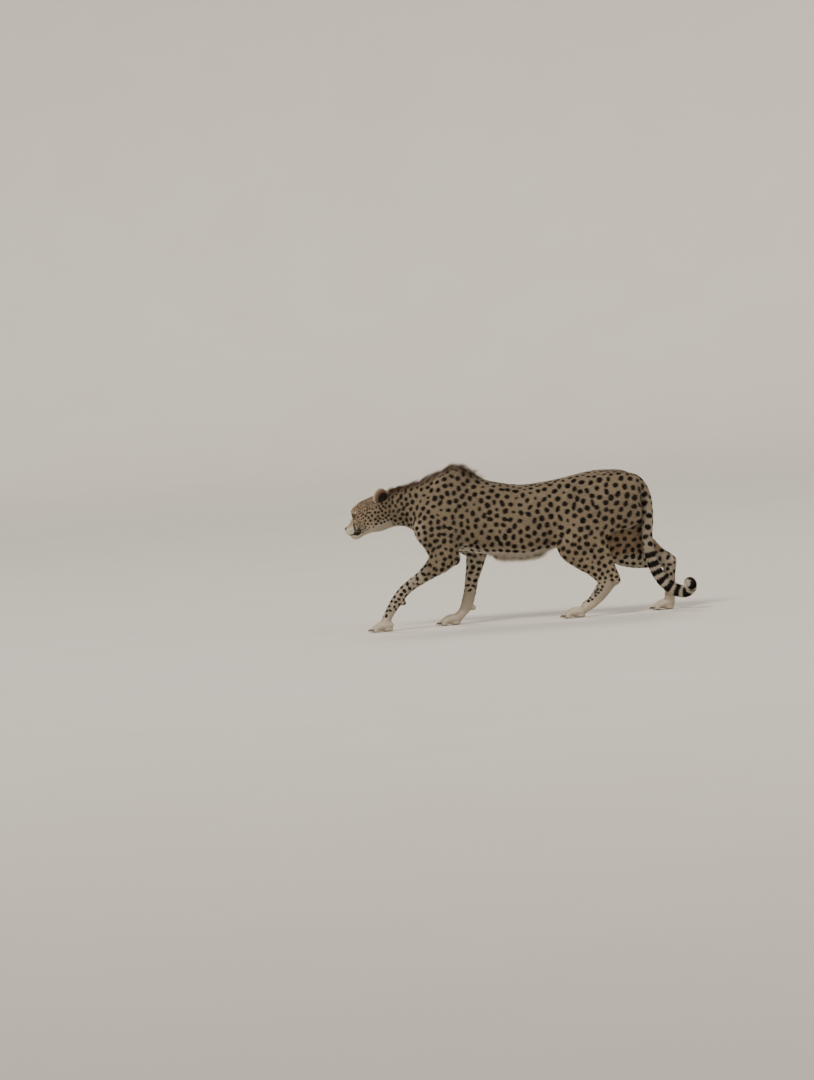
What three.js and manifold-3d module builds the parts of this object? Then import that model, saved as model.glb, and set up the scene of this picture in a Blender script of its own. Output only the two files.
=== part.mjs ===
// A cheetah in a low stalking walk, life size, standing on its four paws. Millimetres, +Z up.
// The head points to -X and the animal's left flank to -Y. The origin is on the floor, below the middle of
// its box. The surface is the outside of the coat. Limbs and muscles are fields that melt into one another.
// The body is meshed whole, thinned out where it is smooth, and parted into its pieces by flat seams.
import * as THREE from "three";
import { SimplifyModifier } from "three/addons/modifiers/SimplifyModifier.js";
import { mergeVertices } from "three/addons/utils/BufferGeometryUtils.js";
import Module from "manifold-3d";

const wasm = await Module();
wasm.setup();

// ---------------------------------------------------------------- driving dimensions

const home = [0.46, -1.19, 0]; // brings the middle of the box over the origin
const seamGap = 0.4; // clear space between two pieces
const gridCell = 9.5; // spacing of the grid that finds the surface
const bodyTriangles = 5000; // what the thinned body keeps
const left = -1;
const right = 1;
const sideName = { [left]: "left", [right]: "right" };

const noseTip = [-653, 62, 389];
const headYaw = THREE.MathUtils.degToRad(18); // nose turned to the animal's right
const headPitch = THREE.MathUtils.degToRad(20); // nose down

const eyeRadius = 16;
const eyeAt = { back: 75, out: 28, up: 30 };
const ear = { back: 198, out: 50, up: 39, length: 70, width: 31, depth: 18, wall: 5 };
const earTilt = { splay: 34, turn: 36, lean: 36 }; // degrees
const claw = { length: 9.5, root: 3.2, tip: 1, drop: 6.5, height: 11 };
const toe = { spread: 15, lead: 9, length: 34, radius: 10.5, height: 17 };

// Sections of the barrel: x, top, bottom, half width.
const barrelSections = [
  [-374, 540, 366, 48],
  [-335, 566, 312, 70],
  [-280, 572, 288, 84],
  [-205, 566, 279, 88],
  [-130, 552, 261, 92],
  [-50, 531, 246, 96],
  [25, 519, 240, 97],
  [95, 522, 253, 92],
  [160, 530, 272, 82],
  [230, 542, 300, 77],
  [300, 553, 330, 78],
  [365, 552, 352, 76],
  [412, 546, 384, 68],
  [444, 526, 420, 52],
];

// Joints of each limb from the body outwards: x, distance from the middle plane, z, radius, flattening.
const limbs = {
  scapulaLeft: [
    [-226, 27, 560, 40, 0.66],
    [-270, 50, 500, 54, 0.56],
    [-318, 64, 425, 60, 0.55],
    [-338, 66, 368, 52, 0.62],
  ],
  armLeft: [
    [-332, 62, 378, 58, 0.58],
    [-306, 67, 325, 60, 0.56],
    [-290, 70, 272, 55, 0.58],
    [-316, 71, 241, 43, 0.68],
    [-362, 69, 206, 31, 0.78],
    [-403, 66, 179, 25.5, 0.82],
    [-443, 62, 152, 22.5, 0.88],
    [-480, 59, 110, 22, 0.95],
    [-505, 57, 73, 19, 1.05],
    [-524, 56, 40, 18, 1.15],
  ],
  scapulaRight: [
    [-214, 27, 560, 40, 0.66],
    [-245, 50, 500, 54, 0.56],
    [-272, 64, 425, 60, 0.55],
    [-280, 68, 375, 54, 0.6],
  ],
  armRight: [
    [-276, 63, 380, 56, 0.58],
    [-215, 68, 330, 56, 0.56],
    [-164, 71, 285, 46, 0.62],
    [-166, 71, 244, 38, 0.72],
    [-175, 69, 207, 32, 0.78],
    [-186, 67, 169, 27, 0.84],
    [-194, 63, 131, 24.5, 0.9],
    [-206, 60, 90, 24, 0.95],
    [-222, 58, 55, 20, 1.05],
    [-240, 57, 36, 18, 1.15],
  ],
  thighLeft: [
    [372, 42, 452, 88, 0.5],
    [318, 48, 400, 96, 0.45],
    [262, 56, 345, 86, 0.46],
    [218, 62, 292, 66, 0.52],
    [198, 66, 262, 52, 0.6],
    [240, 67, 222, 46, 0.6],
    [284, 65, 182, 37, 0.62],
    [322, 62, 132, 33, 0.66],
    [302, 60, 96, 29, 0.76],
    [284, 58, 74, 26, 0.86],
    [262, 57, 54, 23, 1.0],
    [240, 56, 40, 21, 1.12],
  ],
  thighRight: [
    [384, 42, 450, 88, 0.5],
    [380, 48, 390, 94, 0.45],
    [378, 56, 325, 82, 0.47],
    [382, 63, 268, 66, 0.52],
    [395, 67, 230, 54, 0.6],
    [455, 69, 207, 45, 0.6],
    [520, 66, 196, 35, 0.62],
    [566, 63, 180, 28, 0.68],
    [567, 61, 130, 23.5, 0.8],
    [566, 59, 85, 21.5, 0.92],
    [563, 57, 45, 21, 1.12],
  ],
  heelLeft: [
    [292, 62, 272, 44, 0.5],
    [330, 64, 205, 24, 0.6],
    [358, 62, 132, 19, 0.7],
  ],
  heelRight: [
    [462, 64, 262, 52, 0.5],
    [535, 65, 222, 20, 0.6],
    [580, 63, 186, 17, 0.7],
  ],
  neck: [
    [-520, -28, 452, 58, 0.84],
    [-470, -12, 463, 72, 0.78],
    [-430, -4, 469, 78, 0.76],
    [-385, 0, 468, 84, 0.74],
    [-330, 0, 458, 98, 0.7],
  ],
  tail: [
    [428, 0, 500, 26, 1],
    [464, 0, 492, 27, 1],
    [492, 0, 446, 24, 1],
    [499, 0, 366, 22, 1],
    [490, 0, 276, 22, 1],
    [501, 0, 195, 23, 1],
    [528, 2, 128, 25, 1],
    [570, 5, 84, 26.5, 1],
    [612, 10, 67, 26.5, 1],
    [638, 22, 78, 25, 1],
    [641, 43, 98, 23.5, 1],
    [632, 63, 104, 19, 1],
    [623, 76, 94, 9, 1],
  ],
};

// Muscle masses: x, distance from the middle plane, z, then half sizes along x, y and z.
const masses = {
  withers: [-226, 0, 545, 92, 40, 63],
  fringe: [-5, 0, 254, 112, 22, 34],
  tricepsLeft: [-262, 62, 345, 54, 26, 62],
  tricepsRight: [-196, 62, 345, 56, 26, 62],
  hipLeft: [405, 36, 462, 72, 42, 74],
  hipRight: [405, 36, 462, 72, 42, 74],
  hamLeft: [400, 46, 382, 76, 32, 62],
  hamRight: [436, 46, 345, 62, 32, 92],
  flankLeft: [176, 48, 318, 62, 24, 52],
  flankRight: [268, 48, 330, 92, 26, 44],
  elbowLeft: [-246, 71, 262, 24, 15, 32],
  elbowRight: [-134, 72, 288, 24, 15, 30],
  wristPadLeft: [-452, 60, 104, 12, 9, 10],
  wristPadRight: [-190, 60, 60, 15, 10, 11],
};

// Parts of the head: distance behind the nose tip, to the side, above the nose tip, then the half sizes.
const headMiddle = {
  cranium: [142, 0, 19, 74, 56, 58],
  forehead: [99, 0, 36, 42, 42, 40],
  chin: [33, 0, -36, 20, 18, 13.5],
  jaw: [78, 0, -28, 54, 30, 20],
  throat: [148, 0, -27, 56, 44, 34],
};
const headPaired = {
  brow: [76, 24, 47, 20, 17, 18],
  pad: [30, 16, -14, 25, 19, 18],
  cheek: [113, 36, -10, 44, 28, 36],
  lip: [58, 18, -9, 36, 19, 22],
  cheekbone: [92, 37, 12, 34, 19, 20],
  nape: [178, 20, 12, 40, 44, 50],
};
// The bridge of the nose, in the head's frame, as a limb's joints are given.
const bridge = [
  [13, 0, -3, 12.5, 1.3],
  [34, 0, 4, 15.5, 1.25],
  [60, 0, 19, 20, 1.2],
  [88, 0, 28, 26, 1.1],
];

// Middle of each paw's ground print.
const paws = {
  fore: { [left]: [-535, 56], [right]: [-275, 56] },
  hind: { [left]: [196, 55], [right]: [540, 56] },
};

// ---------------------------------------------------------------- fields

const v3 = (x, y, z) => new THREE.Vector3(x, y, z);

// Distance to an ellipsoid, from its offset and half sizes: right at the surface and smooth away from it.
function ellipsoidDistance(x, y, z, rx, ry, rz) {
  const near = Math.hypot(x / rx, y / ry, z / rz);
  const slope = Math.hypot(x / (rx * rx), y / (ry * ry), z / (rz * rz));
  return slope < 1e-9 ? -Math.min(rx, ry, rz) : (near * (near - 1)) / slope;
}

// The lesser of two distances, rounded over the width k where they are alike.
function melt(a, b, k) {
  const h = Math.max(k - Math.abs(a - b), 0) / k;
  return Math.min(a, b) - h * h * k * 0.25;
}

// A chain of tapered rods along a smooth curve through the joints.
function limbShape(joints, side, blend, stepsPerJoint = 4) {
  const curve = (places) => new THREE.CatmullRomCurve3(places, false, "catmullrom");
  const spine = curve(joints.map(([x, y, z]) => v3(x, y * side, z)));
  const girth = curve(joints.map(([, , , r, flat]) => v3(r, flat, 0)));
  const steps = (joints.length - 1) * stepsPerJoint;
  const points = spine.getPoints(steps);
  const sizes = girth.getPoints(steps);
  const field = (x, y, z) => {
    let least = Infinity;
    for (let i = 0; i < steps; i++) {
      const a = points[i];
      const b = points[i + 1];
      const ux = b.x - a.x;
      const uy = b.y - a.y;
      const uz = b.z - a.z;
      const along = ((x - a.x) * ux + (y - a.y) * uy + (z - a.z) * uz) / (ux * ux + uy * uy + uz * uz);
      const t = Math.min(Math.max(along, 0), 1);
      const r = sizes[i].x + (sizes[i + 1].x - sizes[i].x) * t;
      const flat = sizes[i].y + (sizes[i + 1].y - sizes[i].y) * t;
      const d = ellipsoidDistance(x - a.x - ux * t, y - a.y - uy * t, z - a.z - uz * t, r, r * flat, r);
      if (d < least) least = d;
    }
    return least;
  };
  const box = new THREE.Box3().setFromPoints(points).expandByScalar(Math.max(...sizes.map((s) => s.x)));
  return { field, blend, ball: box.getBoundingSphere(new THREE.Sphere()), points, sizes };
}

function massShape([x0, y0, z0, rx, ry, rz], side, blend) {
  const field = (x, y, z) => ellipsoidDistance(x - x0, y - y0 * side, z - z0, rx, ry, rz);
  return { field, blend, ball: new THREE.Sphere(v3(x0, y0 * side, z0), Math.max(rx, ry, rz)) };
}

// The barrel of the chest and belly: egg-shaped sections whose top, bottom and width run smoothly along x.
function barrelShape(sections, blend) {
  const first = sections[0][0];
  const last = sections[sections.length - 1][0];
  const at = (x, column) => {
    let i = 1;
    while (i < sections.length - 2 && sections[i][0] < x) i++;
    const [a, b] = [sections[i - 1], sections[i]];
    const before = sections[Math.max(i - 2, 0)];
    const after = sections[Math.min(i + 1, sections.length - 1)];
    const t = (x - a[0]) / (b[0] - a[0]);
    const slopeA = ((b[column] - before[column]) / (b[0] - before[0])) * (b[0] - a[0]);
    const slopeB = ((after[column] - a[column]) / (after[0] - a[0])) * (b[0] - a[0]);
    const [t2, t3] = [t * t, t * t * t];
    return (
      (2 * t3 - 3 * t2 + 1) * a[column] + (t3 - 2 * t2 + t) * slopeA +
      (3 * t2 - 2 * t3) * b[column] + (t3 - t2) * slopeB
    );
  };
  const endLength = 34; // how far the round ends reach past the end sections
  const topTaper = 0.16; // the back is narrower than the belly
  const field = (x, y, z) => {
    const inside = Math.min(Math.max(x, first), last);
    const top = at(inside, 1);
    const bottom = at(inside, 2);
    const half = (top - bottom) / 2;
    const rise = z - (top + bottom) / 2;
    const width = at(inside, 3) * (1 - topTaper * Math.min(Math.max(rise / half, -1), 1));
    return ellipsoidDistance(x - inside, y, rise, endLength, width, half);
  };
  const ball = new THREE.Sphere(v3((first + last) / 2, 0, 400), (last - first) / 2 + 160);
  return { field, blend, ball };
}

// The head's own frame, with its origin at the nose tip: x backwards, y to the animal's right, z up.
const headFrame = new THREE.Matrix4()
  .makeTranslation(...noseTip)
  .multiply(new THREE.Matrix4().makeRotationZ(-headYaw))
  .multiply(new THREE.Matrix4().makeRotationY(-headPitch));
const toHead = headFrame.clone().invert();

// A shape made in the head's frame, placed on the animal.
function onHead(made) {
  const p = v3(0, 0, 0);
  const ball = made.ball.clone();
  ball.center.applyMatrix4(headFrame);
  const field = (x, y, z) => {
    p.set(x, y, z).applyMatrix4(toHead);
    return made.field(p.x, p.y, p.z);
  };
  return { field, blend: made.blend, ball };
}

// A paw: four toes that fan out from the foot, their pads, and the large pad behind them.
function pawShapes([x, y], side) {
  const middle = y * side;
  const made = [];
  for (const place of [-1.5, -0.5, 0.5, 1.5]) {
    const across = place * toe.spread;
    const lead = Math.abs(place) < 1 ? toe.lead : 0;
    const tip = x - 36 - lead;
    const root = [tip + toe.length, middle + across * 0.72, toe.height + 8, toe.radius + 1, 0.92];
    const knuckle = [tip + toe.length * 0.45, middle + across * 0.95, toe.height + 2, toe.radius, 0.88];
    const end = [tip + 6, middle + across, toe.height - 7, toe.radius - 1, 0.9];
    made.push(limbShape([root, knuckle, end], 1, 3, 3));
    made.push(massShape([tip + 13, middle + across, 4.5, 11, 7.5, 6.5], 1, 3));
  }
  made.push(massShape([x + 8, middle, 24, 34, 24, 19], 1, 10));
  made.push(massShape([x - 9, middle, 15, 20, 22, 10.5], 1, 8));
  made.push(massShape([x + 16, middle, 8, 22, 21, 10], 1, 6));
  return made;
}

function joinShapes(shapes) {
  return (x, y, z) => {
    let d = 1e3;
    for (const s of shapes) {
      const { center, radius } = s.ball;
      if (Math.hypot(x - center.x, y - center.y, z - center.z) - radius > d + s.blend) continue;
      d = melt(d, s.field(x, y, z), s.blend);
    }
    return d;
  };
}

const shapes = [
  barrelShape(barrelSections, 30),
  limbShape(limbs.neck, -1, 40),
  massShape(masses.withers, 1, 40),
  massShape(masses.fringe, 1, 24),
];
for (const side of [left, right]) {
  const name = side === left ? "Left" : "Right";
  shapes.push(limbShape(limbs["scapula" + name], side, 36));
  shapes.push(limbShape(limbs["arm" + name], side, 26));
  shapes.push(limbShape(limbs["thigh" + name], side, 26));
  shapes.push(limbShape(limbs["heel" + name], side, 16));
  for (const mass of ["triceps", "hip", "ham", "flank"]) {
    shapes.push(massShape(masses[mass + name], side, 26));
  }
  for (const mass of ["elbow", "wristPad"]) shapes.push(massShape(masses[mass + name], side, 10));
  shapes.push(...pawShapes(paws.fore[side], side), ...pawShapes(paws.hind[side], side));
}
shapes.push(...Object.values(headMiddle).map((row) => onHead(massShape(row, 1, 18))));
shapes.push(onHead(limbShape(bridge, 1, 10)));
for (const side of [left, right]) {
  shapes.push(...Object.values(headPaired).map((row) => onHead(massShape(row, side, 16))));
}
const flesh = joinShapes(shapes);

// ---------------------------------------------------------------- meshing

const toSolid = (geometry) => {
  const bare = geometry.clone();
  for (const name of ["normal", "uv"]) bare.deleteAttribute(name);
  const merged = mergeVertices(bare, 1e-4);
  return new wasm.Manifold(
    new wasm.Mesh({
      numProp: 3,
      vertProperties: merged.attributes.position.array,
      triVerts: new Uint32Array(merged.index.array),
    }),
  );
};

const indexed = (flat, faces) => {
  const made = new THREE.BufferGeometry();
  made.setAttribute("position", new THREE.BufferAttribute(new Float32Array(flat), 3));
  made.setIndex(faces);
  return made;
};

// A solid's mesh. Where the cuts left several bodies, only the one with the most triangles is kept.
const toGeometry = (solid) => {
  const mesh = solid.getMesh();
  const group = Array.from({ length: mesh.numVert }, (_, i) => i);
  const rootOf = (i) => {
    while (group[i] !== i) i = group[i] = group[group[i]];
    return i;
  };
  const used = Array.from(mesh.triVerts);
  for (let t = 0; t < used.length; t += 3) {
    group[rootOf(used[t + 1])] = rootOf(used[t]);
    group[rootOf(used[t + 2])] = rootOf(used[t]);
  }
  const sizes = new Map();
  for (let t = 0; t < used.length; t += 3) {
    sizes.set(rootOf(used[t]), (sizes.get(rootOf(used[t])) ?? 0) + 1);
  }
  const [biggest] = [...sizes].sort((a, b) => b[1] - a[1])[0];
  const faces = used.filter((_, n) => rootOf(used[n - (n % 3)]) === biggest);
  const flat = [];
  for (let i = 0; i < mesh.numVert; i++) {
    flat.push(...mesh.vertProperties.subarray(i * mesh.numProp, i * mesh.numProp + 3));
  }
  return mergeVertices(indexed(flat, faces).toNonIndexed(), 1e-5);
};

// The eight corners of a grid cell, and the pairs that face each other across one of its sides.
const corners = [];
for (let c = 0; c < 8; c++) corners.push([c & 1, (c >> 1) & 1, (c >> 2) & 1]);
const cellEdges = [];
const cellFaces = [];
for (let axis = 0; axis < 3; axis++) {
  const [u, w] = [1 << ((axis + 1) % 3), 1 << ((axis + 2) % 3)];
  for (let c = 0; c < 8; c++) if (!((c >> axis) & 1)) cellEdges.push([c, c | (1 << axis), axis]);
  for (const side of [0, 1 << axis]) cellFaces.push([side, side | u | w, side | u, side | w]);
}

// Fills grid points until no two parts of the surface meet at a mere edge or corner of a cell.
function closePinches(values, cells, cornersOf, full) {
  let changed = true;
  const fill = (spots) => {
    const spot = spots.filter((s) => values[s] >= 0).sort((a, b) => values[a] - values[b])[0];
    values[spot] = full;
    changed = true;
  };
  while (changed) {
    changed = false;
    for (const cell of cells) {
      const spots = cornersOf(cell);
      const is = (c) => values[spots[c]] < 0;
      for (const [a, d, b, c] of cellFaces) {
        if (is(a) === is(d) && is(b) === is(c) && is(a) !== is(b)) fill([a, b, c, d].map((n) => spots[n]));
      }
      const inner = spots.filter((s) => values[s] < 0).length;
      if (inner !== 2 && inner !== 6) continue;
      for (let c = 0; c < 4; c++) {
        if (is(c) === (inner === 2) && is(7 - c) === (inner === 2)) fill(spots);
      }
    }
  }
}

// Meshes the field inside a box: one vertex in each cell that the surface crosses, at the middle of the
// crossings, and one quad on each crossed grid edge. The box closes the mesh.
function meshField(field, low, high, cell) {
  const [nx, ny, nz] = low.map((v, i) => Math.ceil((high[i] - v) / cell[i]) + 1);
  const at = (i, j, k) => i + nx * (j + ny * k);
  const placeOf = (spot) => {
    const whole = [spot % nx, Math.floor(spot / nx) % ny, Math.floor(spot / (nx * ny))];
    return whole.map((v, n) => low[n] + v * cell[n]);
  };
  const values = new Float32Array(nx * ny * nz);
  const cells = [];
  for (let k = 0; k < nz; k++) {
    for (let j = 0; j < ny; j++) {
      for (let i = 0; i < nx; i++) {
        const d = field(...placeOf(at(i, j, k)));
        const rim = i === 0 || j === 0 || k === 0 || i === nx - 1 || j === ny - 1 || k === nz - 1;
        values[at(i, j, k)] = rim ? Math.max(d, cell[0] * 0.3) : d;
        if (i < nx - 1 && j < ny - 1 && k < nz - 1) cells.push(at(i, j, k));
      }
    }
  }
  const stride = [1, nx, nx * ny];
  const shift = corners.map(([i, j, k]) => at(i, j, k));
  closePinches(values, cells, (spot) => shift.map((s) => spot + s), -cell[0] * 0.04);
  const vertexOf = new Int32Array(nx * ny * nz).fill(-1);
  const points = [];
  for (const spot of cells) {
    const inside = (c) => values[spot + shift[c]] < 0;
    const crossed = cellEdges.filter(([a, b]) => inside(a) !== inside(b));
    if (!crossed.length) continue;
    const middle = [0, 0, 0];
    for (const [a, b, axis] of crossed) {
      const va = values[spot + shift[a]];
      const t = va / (va - values[spot + shift[b]]);
      for (let n = 0; n < 3; n++) middle[n] += (corners[a][n] + (n === axis ? t : 0)) / crossed.length;
    }
    vertexOf[spot] = points.length;
    points.push(placeOf(spot).map((v, n) => v + middle[n] * cell[n]));
  }
  const faces = [];
  for (const spot of cells) {
    for (let axis = 0; axis < 3; axis++) {
      const here = values[spot] < 0;
      if (values[spot + stride[axis]] < 0 === here) continue;
      const [u, w] = [stride[(axis + 1) % 3], stride[(axis + 2) % 3]];
      const ring = [spot - u - w, spot - w, spot, spot - u].map((s) => vertexOf[s]);
      if (!here) ring.reverse();
      faces.push(ring[0], ring[1], ring[2], ring[0], ring[2], ring[3]);
    }
  }
  settle(field, points, Math.min(...cell) * 0.45);
  return indexed(points.flat(), faces);
}

// Moves each point down the field's slope on to its surface, by no more than the given reach.
function settle(field, points, reach) {
  const e = 0.5;
  for (const p of points) {
    const start = [...p];
    for (let turn = 0; turn < 2; turn++) {
      const d = field(...p);
      const slope = [0, 1, 2].map((n) => {
        const q = [...p];
        q[n] += e;
        return (field(...q) - d) / e;
      });
      const steep = slope[0] ** 2 + slope[1] ** 2 + slope[2] ** 2;
      if (steep > 0.05) for (let n = 0; n < 3; n++) p[n] -= (d * slope[n]) / steep;
    }
    const moved = Math.hypot(p[0] - start[0], p[1] - start[1], p[2] - start[2]);
    if (moved > reach) for (let n = 0; n < 3; n++) p[n] = start[n] + ((p[n] - start[n]) * reach) / moved;
  }
}

// ---------------------------------------------------------------- seams

// A seam is a plane through a point, with its normal pointing out of the piece that it bounds.
const seam = (point, normal) => ({ point: v3(...point), normal: v3(...normal).normalize() });
const flipped = ({ point, normal }) => ({ point, normal: normal.clone().negate() });

// A block that fills the plane's inner side, up to `back` short of the plane.
function halfSpace({ point, normal }, back) {
  const size = 4000;
  const block = new THREE.BoxGeometry(size, size, size);
  block.translate(0, 0, -size / 2 - back);
  block.applyQuaternion(new THREE.Quaternion().setFromUnitVectors(v3(0, 0, 1), normal));
  block.translate(point.x, point.y, point.z);
  return toSolid(block);
}

const region = (seams, back) =>
  seams.slice(1).reduce((kept, s) => kept.intersect(halfSpace(s, back)), halfSpace(seams[0], back));
const clip = (solid, seams) => solid.intersect(region(seams, seamGap / 2));
const carve = (solid, seams) => solid.subtract(region(seams, -seamGap / 2));

// Takes from a solid what lies in, or within the gap of, another piece's geometry.
function keepClear(solid, geometry) {
  for (const step of corners) {
    const moved = geometry.clone().translate(...step.map((v) => (v - 0.5) * seamGap * 1.2));
    solid = solid.subtract(toSolid(moved));
  }
  return solid;
}

const thighTop = seam([150, 0, 322], [-0.4, 0, 0.92]);
const flank = seam([118, 0, 266], [-1, 0, 0]);
// The seams that bound each leg's root, then its joints, by side.
const legSeams = {
  fore: {
    [left]: {
      root: [
        seam([-300, 0, 326], [0.33, 0, 0.94]),
        seam([-205, 0, 300], [1, 0, 0.2]),
        seam([0, -36, 300], [0, 1, 0.15]),
      ],
      joint: seam([-318, 0, 244], [-0.72, 0, -0.69]),
      ankle: seam([-478, 0, 112], [-0.65, 0, -0.76]),
    },
    [right]: {
      root: [
        seam([-250, 0, 326], [0.33, 0, 0.94]),
        seam([-96, 0, 300], [1, 0, 0.2]),
        seam([0, 36, 300], [0, -1, 0.15]),
      ],
      joint: seam([-168, 0, 236], [-0.15, 0, -1]),
      ankle: seam([-206, 0, 88], [-0.35, 0, -0.94]),
    },
  },
  hind: {
    [left]: {
      root: [thighTop, flank, seam([0, -14, 0], [0, 1, 0])],
      joint: seam([250, 0, 262], [0.35, 0, -0.94]),
      ankle: seam([306, 0, 104], [-0.45, 0, -0.9]),
    },
    [right]: {
      root: [thighTop, flank, seam([0, 14, 0], [0, -1, 0])],
      joint: seam([430, 0, 222], [0.5, 0, -0.86]),
      ankle: seam([566, 0, 150], [-0.05, 0, -1]),
    },
  },
};
const floor = seam([0, 0, 0], [0, 0, -1]);
const groin = [seam([150, 0, 262], [-0.4, 0, 0.92]), flank];
const underBelly = [seam([0, 0, 214], [0, 0, 1]), flipped(flank)];
const throat = seam([0, 0, 300], [0, 0, -1]);
const nape = seam([-473, 14, 462], [0.95, -0.25, 0.16]);
const collar = seam([-368, 0, 455], [0.96, 0, -0.28]);

// ---------------------------------------------------------------- pieces

const colours = { coat: 0xb59a78, ear: 0x8a765c, eye: 0x8a5a1c, claw: 0x3a322b, tail: 0xa08a70 };
const cat = new THREE.Group();
cat.position.set(...home);

function addPiece(name, solid, colour, roughness = 0.85) {
  const material = new THREE.MeshStandardMaterial({ color: colour, roughness, metalness: 0 });
  const mesh = new THREE.Mesh(toGeometry(solid), material);
  mesh.name = name;
  cat.add(mesh);
}

// A closed tube through the points with its own radius at each, its ends drawn in to a flat.
function tube(points, radii, sides) {
  const curve = new THREE.CatmullRomCurve3(points);
  const frames = curve.computeFrenetFrames(points.length - 1, false);
  const flat = [];
  points.forEach((p, i) => {
    for (let s = 0; s < sides; s++) {
      const turn = (s / sides) * 2 * Math.PI;
      const q = p.clone();
      q.addScaledVector(frames.normals[i], Math.cos(turn) * radii[i]);
      q.addScaledVector(frames.binormals[i], Math.sin(turn) * radii[i]);
      flat.push(q.x, q.y, q.z);
    }
  });
  const faces = [];
  for (let i = 0; i < points.length - 1; i++) {
    for (let s = 0; s < sides; s++) {
      const [a, b] = [i * sides + s, i * sides + ((s + 1) % sides)];
      faces.push(a, b, a + sides, b, b + sides, a + sides);
    }
  }
  const end = (points.length - 1) * sides;
  for (let s = 1; s < sides - 1; s++) faces.push(0, s + 1, s, end, end + s, end + s + 1);
  return toSolid(indexed(flat, faces));
}

function addTrunk(body) {
  let solid = clip(body, [flipped(collar)]);
  for (const end of ["fore", "hind"]) {
    for (const side of [left, right]) solid = carve(solid, legSeams[end][side].root);
  }
  addPiece("trunk", carve(carve(solid, groin), underBelly), colours.coat);
}

function addLeg(body, end, side) {
  const { root, joint, ankle } = legSeams[end][side];
  const name = end + "leg_" + sideName[side];
  const top = end === "fore" ? [...root, flipped(collar), joint] : [...root, joint];
  const paw = clip(body, [...root, flipped(ankle)]).intersect(halfSpace(floor, 0));
  addPiece(name + "_upper", clip(body, top), colours.coat);
  addPiece(name + "_lower", clip(body, [...root, flipped(joint), ankle]), colours.coat);
  addPiece(name + "_paw", paw, colours.coat);
}

function addClaws(end, side) {
  const [x, y] = paws[end][side];
  [-1.5, -0.5, 0.5, 1.5].forEach((place, i) => {
    const lead = Math.abs(place) < 1 ? toe.lead : 0;
    const root = v3(x - 36 - lead - 4.2, y * side + place * toe.spread, claw.height);
    const steps = [0, 0.5, 1];
    const points = steps.map((t) => v3(root.x - claw.length * t, root.y, root.z - claw.drop * t * t));
    const radii = steps.map((t) => claw.root + (claw.tip - claw.root) * t);
    const name = "claw_" + end + "_" + sideName[side] + "_" + (i + 1);
    addPiece(name, tube(points, radii, 5), colours.claw, 0.45);
  });
}

function addHead(body) {
  let solid = clip(body, [nape, throat]);
  for (const side of [left, right]) {
    const centre = v3(eyeAt.back, eyeAt.out * side, eyeAt.up).applyMatrix4(headFrame);
    const ball = new THREE.SphereGeometry(eyeRadius, 10, 8).translate(...centre);
    const socket = new THREE.SphereGeometry(eyeRadius + seamGap * 2.5, 12, 10).translate(...centre);
    solid = solid.subtract(toSolid(socket));
    addPiece("eye_" + sideName[side], toSolid(ball), colours.eye, 0.15);
  }
  addPiece("head", solid, colours.coat);
}

// An ear is a round cup: an outer shell that narrows to a rounded tip, hollowed from the front.
function addEar(bodyGeometry, side) {
  const cup = new THREE.SphereGeometry(1, 12, 8);
  const outer = cup.clone().scale(ear.depth, ear.width, ear.length / 2);
  const hollow = cup.clone().scale(ear.depth, ear.width - ear.wall, ear.length / 2 - ear.wall);
  hollow.translate(-ear.wall - 2, 0, 3);
  for (const part of [outer, hollow]) {
    part.translate(0, 0, ear.length * 0.28);
    part.rotateX(-side * THREE.MathUtils.degToRad(earTilt.splay));
    part.rotateZ(side * THREE.MathUtils.degToRad(earTilt.turn));
    part.rotateY(THREE.MathUtils.degToRad(earTilt.lean));
    part.translate(ear.back, ear.out * side, ear.up);
    part.applyMatrix4(headFrame);
  }
  const shell = keepClear(toSolid(outer).subtract(toSolid(hollow)), bodyGeometry);
  addPiece("ear_" + sideName[side], shell, colours.ear);
}

function addTail(bodyGeometry) {
  const { points, sizes } = limbShape(limbs.tail, -1, 1, 2);
  const whole = keepClear(tube(points, sizes.map((s) => s.x), 9), bodyGeometry);
  const [upper, lower] = [362, 186].map((z) => seam([0, 0, z], [0, 0, -1]));
  addPiece("tail_root", clip(whole, [upper]), colours.tail);
  addPiece("tail_middle", clip(whole, [flipped(upper), lower]), colours.tail);
  addPiece("tail_end", clip(whole, [flipped(lower)]), colours.tail);
}

const fine = meshField(flesh, [-680, -132, -20], [640, 148, 640], [gridCell, gridCell, gridCell]);
const spare = fine.attributes.position.count - bodyTriangles / 2;
const bodyGeometry = await new SimplifyModifier().modify(fine, spare);
const body = toSolid(bodyGeometry);
addHead(body);
addPiece("neck", clip(body, [flipped(nape), collar, throat]), colours.coat);
addTrunk(body);
for (const side of [left, right]) {
  addEar(bodyGeometry, side);
  for (const end of ["fore", "hind"]) {
    addLeg(body, end, side);
    addClaws(end, side);
  }
}
addTail(bodyGeometry);

export default cat;
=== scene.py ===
import math

import bpy
import numpy as np
from mathutils import Matrix, Vector


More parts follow.
